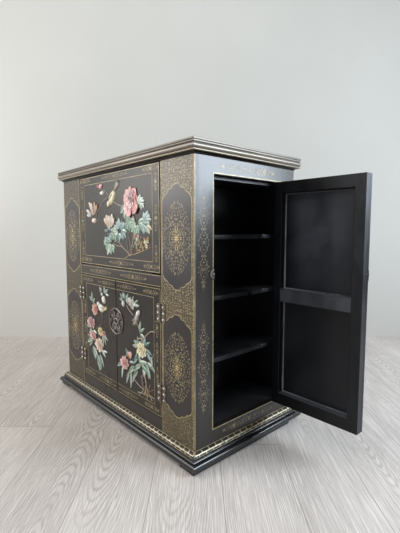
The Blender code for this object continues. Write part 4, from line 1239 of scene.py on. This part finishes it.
PEONY_FOOT, PEONY_HEART = (0.123, 0.788), (0.122, 0.818)
work = Carving(3)
for lean, length, wide, base in (
    (-1.15, 0.046, 0.040, 0.0010), (1.15, 0.046, 0.040, 0.0010), (-0.78, 0.060, 0.044, 0.0016),
    (0.78, 0.062, 0.044, 0.0016), (-0.40, 0.071, 0.046, 0.0022), (0.42, 0.069, 0.046, 0.0024),
    (0.0, 0.072, 0.042, 0.0020), (-0.86, 0.046, 0.030, 0.0030), (0.84, 0.048, 0.030, 0.0030),
    (-0.50, 0.056, 0.032, 0.0034), (0.50, 0.058, 0.032, 0.0034), (-0.16, 0.062, 0.030, 0.0036),
    (0.20, 0.060, 0.030, 0.0038),
):
    work.petal(*PEONY_FOOT, math.pi / 2 + lean, length, wide, base, 0.0016, *CORAL)
for x, z, angle, length, wide, base in (
    (0.122, 0.796, -2.85, 0.044, 0.034, 0.0026), (0.126, 0.800, -0.20, 0.040, 0.032, 0.0026),
    (0.118, 0.794, -2.45, 0.040, 0.034, 0.0034), (0.118, 0.796, -1.78, 0.046, 0.030, 0.0042),
    (0.132, 0.800, -0.72, 0.046, 0.044, 0.0046),
):
    work.petal(x, z, angle, length, wide, base, 0.0030, *CORAL)
for reach, count, base in ((0.026, 8, 0.0046), (0.019, 7, 0.0056), (0.012, 5, 0.0066)):
    for i in range(count):
        a = 2 * math.pi * (i + 0.5 * (count % 2)) / count
        x = PEONY_HEART[0] + reach * 0.18 * math.cos(a)
        z = PEONY_HEART[1] + reach * 0.25 * math.sin(a)
        out, up = math.cos(a), 1.35 * math.sin(a)
        length = reach * math.hypot(out, up) * 0.86
        work.petal(x, z, math.atan2(up, out), length, reach * 0.95, base, 0.0016, *DUSTY)
work.finish("flap_peony", "flap")

work = Carving(4)
work.petals((
    (-46, 714, 2.25, 46, 20, CREAM), (-42, 714, 1.9, 52, 20, SHELL), (-30, 714, 1.22, 54, 21, CREAM),
    (-27, 716, 0.86, 44, 18, BLUSH), (-37, 712, 1.56, 48, 22, WHITE), (-180, 768, 2.02, 60, 15, BLUSH),
    (-178, 766, 1.72, 52, 13, WHITE), (-172, 766, 1.28, 56, 17, AMBER), (-164, 768, 0.95, 50, 16, AMBER),
    (-192, 768, 2.62, 44, 13, WHITE), (-192, 762, 2.98, 34, 14, GREY),
))
work.bead(-0.168, 0.743, 0.018, 0.0115, 0.0070, *SHELL)
work.leaf(-0.150, 0.742, 3.2, 0.020, 0.010, 0.0045, *BLUSH)
work.bead(-0.104, 0.880, 0.015, 0.010, 0.0065, *ROSE, 0.4)
work.leaf(-0.122, 0.882, 3.05, 0.018, 0.012, 0.0030, *CRIMSON)
work.bead(-0.094, 0.853, 0.0165, 0.0085, 0.0062, *WHITE)
for x, z, tone in (
    (0.160, 0.668, PALE_JADE), (0.168, 0.680, ROSE), (0.146, 0.676, UMBER), (0.188, 0.652, OCHRE),
    (0.212, 0.660, BUTTER), (0.232, 0.672, OCHRE), (0.198, 0.640, OCHRE), (0.222, 0.646, BUTTER),
    (0.176, 0.662, OCHRE), (0.152, 0.656, GREY_JADE),
):
    for i in range(5):
        a = 2 * math.pi * i / 5 + x
        work.bead(x + 0.005 * math.cos(a), z + 0.005 * math.sin(a), 0.0044, 0.0032, 0.0034, *tone, a)
for k in range(26):
    x = work.pick.uniform(0.136, 0.240)
    z = 0.617 + 0.26 * (x - 0.136) + work.pick.uniform(0.0, 0.070) * (1 - (x - 0.136) / 0.16)
    tone = (OCHRE, STRAW, GREY_JADE, DUSTY, UMBER)[k % 5]
    for a in (0.4 + k, 2.5 + k, 4.6 + k):
        work.bead(x + 0.0034 * math.cos(a), z + 0.0034 * math.sin(a), 0.0036, 0.0024, 0.0030, *tone, a)
work.finish("flap_blossoms", "flap")

work = Carving(5)
work.bird(-0.012, 0.831, -2.28, 0.102, OLIVE, OLIVE_WING, UMBER, -1)
work.finish("flap_bird", "flap")

# Front doors.
# Two lacquered boards that meet in the middle, each framed in gold lines on its outer sides.
# Left: a white bird over pink and peach flowers. Right: a grey bird over a cream peony and a bare trunk.
DOOR_LINE, DOOR_FIELD_LINE = 0.0022, 0.0018
DOOR_FIELD_X, DOOR_FIELD_FOOT, DOOR_FIELD_HEAD = 0.259, 0.083, 0.469
MEETING_GAP = 0.0040
for side, sign in SIDES:
    body = f"{side}_front_door"
    low_corner, high_corner = leaf_board(f"{side}_front_panel", body, body)
    foot, head = low_corner.z - FOOT + LINE_INSET, high_corner.z - FOOT - LINE_INSET
    near, outer = sign * MEETING_GAP, sign * (max(abs(low_corner.x), abs(high_corner.x)) - LINE_INSET)
    lines = Brush(on_front)
    for far, low, high, width in ((outer, foot, head, DOOR_LINE),
                                  (sign * DOOR_FIELD_X, DOOR_FIELD_FOOT, DOOR_FIELD_HEAD, DOOR_FIELD_LINE)):
        corners = ((near, high), (far, high), (far, low), (near, low))
        for course in zip(corners, corners[1:]):
            lines.stroke(course, width)
    for z in ((head + DOOR_FIELD_HEAD) / 2, (foot + DOOR_FIELD_FOOT) / 2):
        lines.garland(sign * 0.080, z, 0.128, 0.026)
        lines.garland(sign * 0.240, z, 0.080, 0.026, False, CORNER_PROFILE)
    for z in (0.277, 0.365, 0.190):
        lines.garland(sign * BORDER_X, z, 0.062, 0.028, True)
    lines.finish(f"{side}_front_door_gold_work", gold, body)

work = Carving(6)
work.branches((
    (2.2, 1.4, BARK, (-126, 352), (-112, 332), (-124, 310), (-142, 294), (-176, 276)),
    (1.6, 1.2, TWIG, (-106, 424), (-110, 404), (-104, 392)),
    (2, 1.4, BARK, (-196, 256), (-186, 226), (-160, 196)),
))
work.leaves((
    (-120, 440, 2.2, 30, 14, GREY_JADE), (-124, 440, 1.5, 24, 11, PALE_JADE),
    (-88, 440, 1.9, 30, 12, PALE_JADE), (-84, 442, 0.9, 28, 12, GREY_JADE),
    (-82, 438, -0.1, 24, 10, PALE_JADE), (-200, 398, 1.9, 38, 14, GREY_JADE),
    (-202, 396, 2.7, 34, 13, GREY_JADE), (-196, 384, 1.2, 30, 12, PALE_JADE),
    (-232, 274, 2.9, 32, 14, PALE_JADE), (-216, 270, -2.4, 34, 14, PALE_JADE),
    (-200, 264, -0.4, 32, 12, PALE_JADE), (-112, 262, -0.5, 44, 13, GREY_JADE),
    (-108, 258, -1.0, 44, 12, GREY_JADE), (-116, 256, -1.5, 36, 12, GREY_JADE),
    (-206, 222, 3.4, 62, 18, JADE), (-204, 218, 2.8, 58, 16, GREY_JADE),
    (-214, 214, 3.9, 44, 14, GREY_JADE), (-116, 188, 0.1, 36, 12, PALE_JADE),
    (-122, 186, -0.6, 34, 12, GREY_JADE), (-204, 192, -1.35, 58, 24, PALE_JADE),
    (-196, 188, -1.0, 66, 22, GREY_JADE), (-176, 166, -1.05, 66, 24, GREY_JADE),
    (-158, 156, -1.25, 58, 22, JADE), (-146, 166, -0.95, 58, 22, GREY_JADE),
    (-140, 150, -1.7, 54, 20, GREY_JADE), (-166, 140, -1.1, 50, 20, PALE_JADE),
))
work.finish("left_door_leaves", "left_front_door")

work = Carving(7)
work.roses((
    (-180, 360, 27, PEACH, 1.05, 4, 0.2), (-218, 296, 37, DUSTY, 0.72, 4, 0.7),
    (-134, 271, 22, STRAW, 0.9, 4, 0.1), (-106, 266, 18, ROSE, 0.8, 3, 0.5),
    (-204, 241, 30, ROSE, 0.74, 4, 0.4), (-146, 211, 39, SHELL, 0.84, 5, 0.9),
))
work.bead(-0.100, 0.413, 0.018, 0.013, 0.0066, *WHITE, 2.1)
work.bead(-0.115, 0.434, 0.008, 0.006, 0.0050, *WHITE, 2.0)
work.finish("left_door_flowers", "left_front_door")

work = Carving(8)
work.bird(-0.126, 0.373, 2.60, 0.074, WHITE, WHITE, STRAW, -1, 1.05)
work.finish("left_door_bird", "left_front_door")

work = Carving(9)
work.branches((
    (2, 1.4, TWIG, (80, 416), (98, 400), (126, 384)),
    (1.8, 1.2, TWIG, (150, 362), (164, 340), (176, 310)),
    (2.8, 1.8, TWIG, (162, 304), (190, 308), (214, 326), (240, 344), (266, 347)),
    (4.2, 3.6, BARK, (196, 184), (184, 160), (190, 128), (204, 98)),
    (2.4, 2, BARK, (172, 164), (186, 148), (190, 132)),
    (1.6, 1.2, TWIG, (132, 134), (160, 122), (190, 114), (204, 102)),
    (1.8, 1.2, BARK, (204, 102), (226, 120), (254, 134)),
    (2, 1.2, UMBER, (150, 94), (186, 100), (204, 98), (232, 104), (254, 102)),
    (1.6, 1.2, TWIG, (240, 236), (252, 258), (258, 270)),
    (3, 3.4, TWIG, (200, 170), (208, 140), (202, 100)),
    (1.4, 1.6, UMBER, (160, 88), (184, 108), (196, 130)),
    (1.6, 1.8, OCHRE, (244, 90), (222, 112), (206, 136)),
    (1.6, 1.2, TWIG, (212, 86), (216, 112), (232, 146)),
))
work.leaves([(190 + 4 * k, 96, 0.4 + 0.32 * k, 24, 4, OCHRE) for k in range(8)])
work.finish("right_door_branches", "right_front_door")

work = Carving(10)
work.leaves((
    (56, 432, 3.0, 30, 12, JADE), (54, 436, 2.3, 28, 11, GREY_JADE), (60, 440, 1.7, 24, 10, PALE_JADE),
    (78, 430, 1.9, 34, 13, TEAL), (80, 432, 1.2, 34, 13, PALE_JADE), (86, 432, 0.7, 32, 12, GREY_JADE),
    (134, 428, 0.5, 34, 11, PALE_JADE), (132, 424, -0.05, 36, 11, PALE_JADE),
    (120, 434, 1.2, 26, 10, PALE_JADE), (168, 336, 1.3, 36, 13, PALE_JADE), (172, 330, 0.5, 34, 12, JADE),
    (176, 322, -0.3, 26, 10, PALE_JADE), (196, 284, 1.2, 34, 14, TEAL), (206, 286, 0.5, 34, 13, JADE),
    (190, 290, 2.0, 28, 12, PALE_JADE), (158, 276, 2.6, 34, 14, PALE_JADE),
    (154, 270, 3.2, 36, 13, GREY_JADE), (160, 282, 1.9, 28, 12, GREY_JADE), (208, 270, -0.3, 38, 15, TEAL),
    (212, 266, -0.9, 50, 14, TEAL), (240, 252, -1.4, 46, 12, PALE_JADE), (84, 222, 2.1, 30, 13, JADE),
    (78, 214, 1.4, 28, 12, GREY_JADE), (34, 178, -2.6, 40, 15, TEAL), (96, 196, 0.1, 30, 13, PALE_JADE),
    (152, 236, -2.2, 48, 17, TEAL), (142, 216, 1.2, 38, 15, JADE), (160, 240, -1.3, 40, 16, PALE_JADE),
    (42, 164, -1.62, 48, 11, PALE_JADE), (92, 158, -2.1, 60, 15, GREY_JADE),
    (104, 158, -1.6, 64, 14, PALE_JADE), (126, 188, -2.3, 52, 20, GREY_JADE),
    (150, 190, -2.6, 50, 18, JADE), (150, 176, -2.3, 50, 18, GREY_JADE),
    (170, 204, -2.6, 50, 18, GREY_JADE), (164, 214, 0.1, 52, 18, PALE_JADE), (180, 206, -0.5, 50, 18, JADE),
    (206, 216, -0.9, 56, 18, JADE), (214, 218, -1.35, 52, 18, GREY_JADE),
    (218, 224, -0.3, 46, 15, PALE_JADE), (240, 222, -0.9, 32, 12, GREY_JADE),
    (190, 196, -1.5, 36, 14, PALE_JADE), (130, 160, -1.9, 44, 14, GREY_JADE),
))
work.finish("right_door_leaves", "right_front_door")

work = Carving(11)
work.roses(((180, 263, 33, BUTTER, 0.95, 6, 0.3), (58, 184, 32, ROSE, 0.92, 6, 0.6)))
work.petals((
    (96, 210, 1.9, 28, 18, PEACH), (98, 210, 1.3, 30, 18, BLUSH), (94, 210, 1.6, 26, 18, PEACH),
    (100, 418, 2.2, 26, 16, GREY), (106, 416, 1.6, 30, 18, WHITE), (112, 416, 1.0, 34, 18, GREY),
    (114, 418, 0.4, 36, 14, WHITE), (108, 414, -0.1, 26, 13, GREY),
))
work.bead(0.057, 0.419, 0.0085, 0.0125, 0.0066, *WHITE, 0.2)
work.bead(0.198, 0.181, 0.007, 0.009, 0.0050, *WHITE)
work.finish("right_door_flowers", "right_front_door")

work = Carving(12)
work.bird(0.150, 0.380, 0.90, 0.056, GREY, GREY, UMBER, 1)
work.leaves((
    (148, 378, -2.2, 34, 13, GREY), (142, 376, -2.6, 30, 11, UMBER), (150, 374, -1.8, 30, 11, UMBER),
))
work.bead(0.163, 0.398, 0.0140, 0.0098, 0.0092, *WHITE, 0.75, 0.002)
work.finish("right_door_bird", "right_front_door")

# Medallion.
# A cast plate split down the middle between the doors: a lobed rim round pierced scrolls over a dark ground.
# Bronze, rubbed to pewter grey on the high parts.
look = Finish("medallion_bronze")
tint = look.painted("stone")["Color"]
rub = look.noise(120.0, 4.0)
dulled = look.mix(1.0, tint, (0.45, 0.42, 0.40), "MULTIPLY")
medallion_bronze = look.set(
    Base_Color=look.mix(look.span(rub, 0.35, 0.7, 0.0, 0.6), tint, dulled),
    Metallic=look.span(rub, 0.3, 0.7, 0.35, 0.6),
    Roughness=look.span(rub, 0.3, 0.7, 0.30, 0.46),
)
PEWTER = ((0.050, 0.043, 0.040), (0.450, 0.415, 0.395))
RIM = ((0.060, 0.049, 0.043), (0.270, 0.222, 0.198))
SUNK = ((0.008, 0.007, 0.006), (0.020, 0.017, 0.015))
half_low, half_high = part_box("right_medallion_half")
MEDALLION_R = half_high.x - half_low.x
MEDALLION_Z = (half_low.z + half_high.z) / 2 - FOOT
SPLIT_GAP = 0.0022
for side, sign in SIDES:
    work = Carving(13)

    def ring(inner, outer, top, tones):
        """Half a lobed ring of round section."""
        rows = []
        for i in range(49):
            a = -math.pi / 2 + math.pi * i / 48
            lobe = 1.0 - 0.05 * (1 - abs(math.cos(4 * a)) ** 0.6)
            row = []
            for j in range(7):
                share = j / 6
                r = MEDALLION_R * lobe * (inner + (outer - inner) * share)
                up = 0.0006 + top * math.sin(math.pi * min(max(share, 0.08), 0.92)) ** 0.6
                spot = (sign * (half_low.x + r * math.cos(a)), MEDALLION_Z + r * math.sin(a))
                row.append((*spot, up, 0.25 + 0.6 * math.sin(math.pi * share)))
            rows.append(row)
        work.patch(rows, *tones, -0.0002)

    ring(0.0, 0.88, 0.0009, SUNK)
    ring(0.86, 1.00, 0.0044, RIM)
    ring(0.15, 0.27, 0.0042, PEWTER)
    for r, a, heading, size, hand in (
        (0.30, 0.15, 0.9, 0.75, 1), (0.30, -0.35, -0.9, 0.75, -1), (0.32, 1.05, 1.9, 0.72, -1),
        (0.32, -1.20, -2.0, 0.72, 1), (0.60, 0.55, 2.2, 0.66, 1), (0.60, -0.70, -2.3, 0.66, -1),
        (0.58, 0.05, 0.4, 0.62, -1), (0.64, 1.20, 0.1, 0.62, 1), (0.64, -1.28, -0.1, 0.62, -1),
        (0.74, 0.80, -1.0, 0.60, -1), (0.74, -0.95, 1.0, 0.60, 1), (0.72, -0.25, 1.4, 0.56, -1),
    ):
        spot = (half_low.x + MEDALLION_R * r * math.cos(a), MEDALLION_Z + MEDALLION_R * r * math.sin(a))
        curl = scroll(*spot, heading, MEDALLION_R * size, hand)
        course = [(sign * max(u, half_low.x + SPLIT_GAP), v) for u, v in curl]
        work.branch(course, 0.0026, 0.0016, *PEWTER)
    made = work.finish(f"{side}_medallion", f"{side}_front_door", medallion_bronze, "dark_bronze")
    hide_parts(f"{side}_medallion_half")

# Front hinges.
# Cast face hinges with three-lobed leaves in dark bronze, held by domed steel studs.
# One leaf is on the pilaster and the other on the door.
hinge_bronze = rubbed("hinge_bronze", (130.0, 4.0), (0.35, 0.7), (0.070, 0.055, 0.042), (0.260, 0.215, 0.165),
                      (0.30, 0.46), (0.4, 0.7))
dress([n for n in nodes if "front_hinge" in n], hinge_bronze, 0.0004)
STUD_R = 0.0046
STUD_H = 0.0036
HINGE_PLATE = 0.0018
DOME_RINGS, DOME_SIDES = 5, 14
for side, sign in SIDES:
    for part, body in (("fixed", "cabinet"), ("moving", f"{side}_front_door")):
        points, faces = [], []
        for level in ("lower", "upper"):
            low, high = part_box(f"{side}_front_hinge_{level}_{part}")
            pin_at_low = (part == "fixed") == (sign > 0)
            x = low.x + (high.x - low.x) * (0.58 if pin_at_low else 0.42)
            face = high.y - HINGE_PLATE
            for share in (0.17, 0.5, 0.83):
                z = low.z + (high.z - low.z) * share
                start = len(points)
                for i in range(DOME_RINGS):
                    tilt = math.pi / 2 * i / DOME_RINGS
                    r, y = STUD_R * math.cos(tilt), face - STUD_H * math.sin(tilt)
                    for j in range(DOME_SIDES):
                        a = 2 * math.pi * j / DOME_SIDES
                        points.append((x + r * math.cos(a), y, z + r * math.sin(a)))
                points.append((x, face - STUD_H, z))
                for i in range(DOME_RINGS - 1):
                    for j in range(DOME_SIDES):
                        a, b = start + i * DOME_SIDES, (j + 1) % DOME_SIDES
                        faces.append([a + j, a + b, a + DOME_SIDES + b, a + DOME_SIDES + j])
                last, tip = start + (DOME_RINGS - 1) * DOME_SIDES, len(points) - 1
                faces.extend([last + j, last + (j + 1) % DOME_SIDES, tip] for j in range(DOME_SIDES))
        piece(f"{side}_hinge_studs_{part}", points, faces, bright_steel, body, True)

# Floor and wall.
# Pale grey oak laminate planks that run along the view, with open cathedral grain and a few end joints.
# The wall is pale paint, and clear from behind, so that it hides nothing.
CAMERA = Vector((1.3557, -1.0248, 0.7595))
YAW = math.radians(47.98)
PITCH = math.radians(5.323)
WALL_AWAY = 2.71
ahead = Vector((-math.sin(YAW), math.cos(YAW), 0.0))
across = Vector((math.cos(YAW), math.sin(YAW), 0.0))
under = Vector((CAMERA.x, CAMERA.y, 0.0))


def backdrop(name, corners, material):
    mesh = bpy.data.meshes.new(name)
    mesh.from_pydata([tuple(c) for c in corners], [], [list(range(len(corners)))])
    mesh.materials.append(material)
    made = bpy.data.objects.new(name, mesh)
    bpy.context.scene.collection.objects.link(made)


look = Finish("oak_planks")
PLANK = 0.213
PLANK_LENGTH = 1.22
u, v, _ = look.axes(look.mapped(turn=-YAW))
lane = look.times(u, 1.0 / PLANK)
plank = look.math("FLOOR", lane)
shift = look.math("FRACT", look.times(look.math("SINE", look.times(plank, 12.9)), 43.7))
course = look.plus(look.math("DIVIDE", v, PLANK_LENGTH), shift)
length = look.math("FLOOR", course)
seed = look.plus(look.times(plank, 7.3), look.times(length, 3.1))
tone = look.math("FRACT", look.times(look.math("SINE", seed), 91.7))
wave = look.noise(1.0, 4.0, look.joined(look.times(u, 9.0), look.times(v, 2.4), look.times(tone, 30.0)))
off_heart = look.math("SUBTRACT", look.math("FRACT", lane), look.span(tone, 0.0, 1.0, 0.25, 0.75))
side_way = look.plus(look.times(off_heart, PLANK), look.span(wave, 0.2, 0.8, -0.018, 0.018))
long_way = look.times(look.math("PINGPONG", look.plus(v, look.times(tone, 9.0)), 0.75), 0.115)
across_grain = look.math("POWER", look.math("ABSOLUTE", side_way), 2.0)
heart = look.math("SQRT", look.plus(across_grain, look.math("POWER", long_way, 2.0)))
fibre = look.noise(1.0, 5.0, look.joined(look.times(u, 330.0), look.times(v, 8.0), tone))
rings = look.math("PINGPONG", look.plus(look.times(heart, 360.0), look.times(fibre, 1.6)), 1.0)
patch = look.noise(1.0, 2.0, look.joined(look.times(u, 5.0), look.times(v, 1.6), seed))
figured = look.span(patch, 0.38, 0.60, 0.05, 1.0)
grain = look.times(look.times(look.span(rings, 0.45, 0.95), look.span(fibre, 0.28, 0.60)), figured)
joint = look.math("MINIMUM", look.span(look.math("PINGPONG", lane, 0.5), 0.0, 0.008),
                  look.span(look.math("PINGPONG", course, 0.5), 0.0, 0.0016))
oak = look.mix(look.span(tone, 0.0, 1.0, 0.0, 0.6), (0.606, 0.556, 0.520), (0.520, 0.474, 0.442))
oak = look.mix(look.times(grain, 0.95), oak, (0.275, 0.244, 0.222))
oak = look.mix(look.span(fibre, 0.50, 0.32, 0.0, 0.55), oak, (0.305, 0.272, 0.248))
oak = look.mix(look.span(fibre, 0.52, 0.70, 0.0, 0.70), oak, (0.800, 0.752, 0.714))
# The planks are painted darker towards the far left: painted shade.
oak = look.mix(look.span(u, 0.1, -1.0, 0.0, 0.55), oak, look.mix(1.0, oak, (0.64, 0.63, 0.62), "MULTIPLY"))
oak_floor = look.set(
    Base_Color=look.mix(joint, (0.230, 0.208, 0.190), oak),
    Roughness=look.span(fibre, 0.3, 0.7, 0.44, 0.62),
    Normal=look.bump(grain, 0.15, 0.001),
)
FLOOR_CORNERS = ((-5, -7), (-5, 7), (8, 7), (8, -7))
backdrop("floor", [under + ahead * a + across * b for a, b in FLOOR_CORNERS], oak_floor)

look = Finish("wall_paint")
height = look.axes()[2]
mottle = look.noise(2.0, 3.0)
wall_grey = look.mix(look.span(mottle, 0.3, 0.7), (0.562, 0.560, 0.526), (0.588, 0.585, 0.551))
# The wall is painted darker towards the floor: painted shade.
painted_wall = look.set(
    Base_Color=look.mix(look.span(height, 0.0, 0.75), (0.548, 0.532, 0.496), wall_grey),
    Roughness=0.9,
    Normal=look.bump(look.noise(120.0, 2.0), 0.05, 0.001),
)
rear_side = look.tree.nodes.new("ShaderNodeNewGeometry").outputs["Backfacing"]
one_sided = look.tree.nodes.new("ShaderNodeMixShader")
clear = look.tree.nodes.new("ShaderNodeBsdfTransparent")
look.put(one_sided.inputs[0], rear_side)
look.put(one_sided.inputs[1], look.shader.outputs[0])
look.put(one_sided.inputs[2], clear.outputs[0])
look.put(look.tree.nodes["Material Output"].inputs["Surface"], one_sided.outputs[0])
WALL_HALF, WALL_HEIGHT = 6, 4.0
left_foot = under + ahead * WALL_AWAY - across * WALL_HALF
right_foot = under + ahead * WALL_AWAY + across * WALL_HALF
up = Vector((0.0, 0.0, WALL_HEIGHT))
backdrop("wall", [left_foot, right_foot, right_foot + up, left_foot + up], painted_wall)


# Light.
# A pale room: a large soft source high at the left front, and a cooler window high at the right rear.
# Weak cards stand for pale walls that the lacquer mirrors, and a panel lights from the ceiling.
def soft_light(name, place, aim, width, height, power, colour):
    data = bpy.data.lights.new(name, "AREA")
    data.shape = "RECTANGLE"
    data.size = width
    data.size_y = height
    data.energy = power
    data.color = colour
    lamp = bpy.data.objects.new(name, data)
    lamp.location = place
    lamp.rotation_mode = "QUATERNION"
    lamp.rotation_quaternion = (Vector(aim) - Vector(place)).to_track_quat("-Z", "Y")
    bpy.context.scene.collection.objects.link(lamp)


soft_light("left_front_softbox", (-1.42, -2.12, 1.75), (0.1, -0.2, 0.5), 2.0, 1.6, 45.0, (1.0, 0.985, 0.96))
soft_light("left_wall_card", (-2.70, -2.12, 0.95), (-2.70, 0.0, 0.95), 1.8, 1.4, 16.0, (1.0, 0.99, 0.98))
soft_light("right_rear_window", (2.90, 1.69, 1.60), (2.06, -0.11, 0.95), 1.95, 1.4, 158.0, (0.79, 0.895, 1.0))
soft_light("low_front_card", (-0.30, -3.40, 0.75), (0.75, 0.17, 0.6), 1.3, 0.9, 2.2, (0.86, 0.93, 1.0))
soft_light("low_left_card", (-1.45, -2.12, 0.45), (-1.45, 0.0, 0.45), 0.9, 0.8, 3.2, (0.94, 0.97, 1.0))
soft_light("camera_side_card", (1.15, -2.50, 0.50), (0.0, -0.28, 0.45), 0.6, 0.6, 6.5, (1.0, 0.99, 0.97))
soft_light("ceiling_panel", (0.6, -0.8, 3.2), (0.3, -0.2, 0.0), 3.0, 3.0, 48.0, (1.0, 1.0, 0.99))
room = bpy.data.worlds.new("room")
room.use_nodes = True
room.node_tree.nodes["Background"].inputs["Color"].default_value = (0.90, 0.93, 0.95, 1.0)
room.node_tree.nodes["Background"].inputs["Strength"].default_value = 0.17
bpy.context.scene.world = room
bpy.context.scene.view_settings.view_transform = "Standard"

# Camera.
# Held below eye height, close to the right front corner and tilted a little down.
# The wide lens makes the near corner large.
lens = bpy.data.cameras.new("camera")
lens.lens = 26.13
lens.sensor_width = 36.0
lens.clip_start = 0.05
camera = bpy.data.objects.new("camera", lens)
camera.location = CAMERA
camera.rotation_mode = "QUATERNION"
sight = ahead * math.cos(PITCH) - Vector((0, 0, math.sin(PITCH)))
camera.rotation_quaternion = sight.to_track_quat("-Z", "Y")
bpy.context.scene.collection.objects.link(camera)
bpy.context.scene.camera = camera
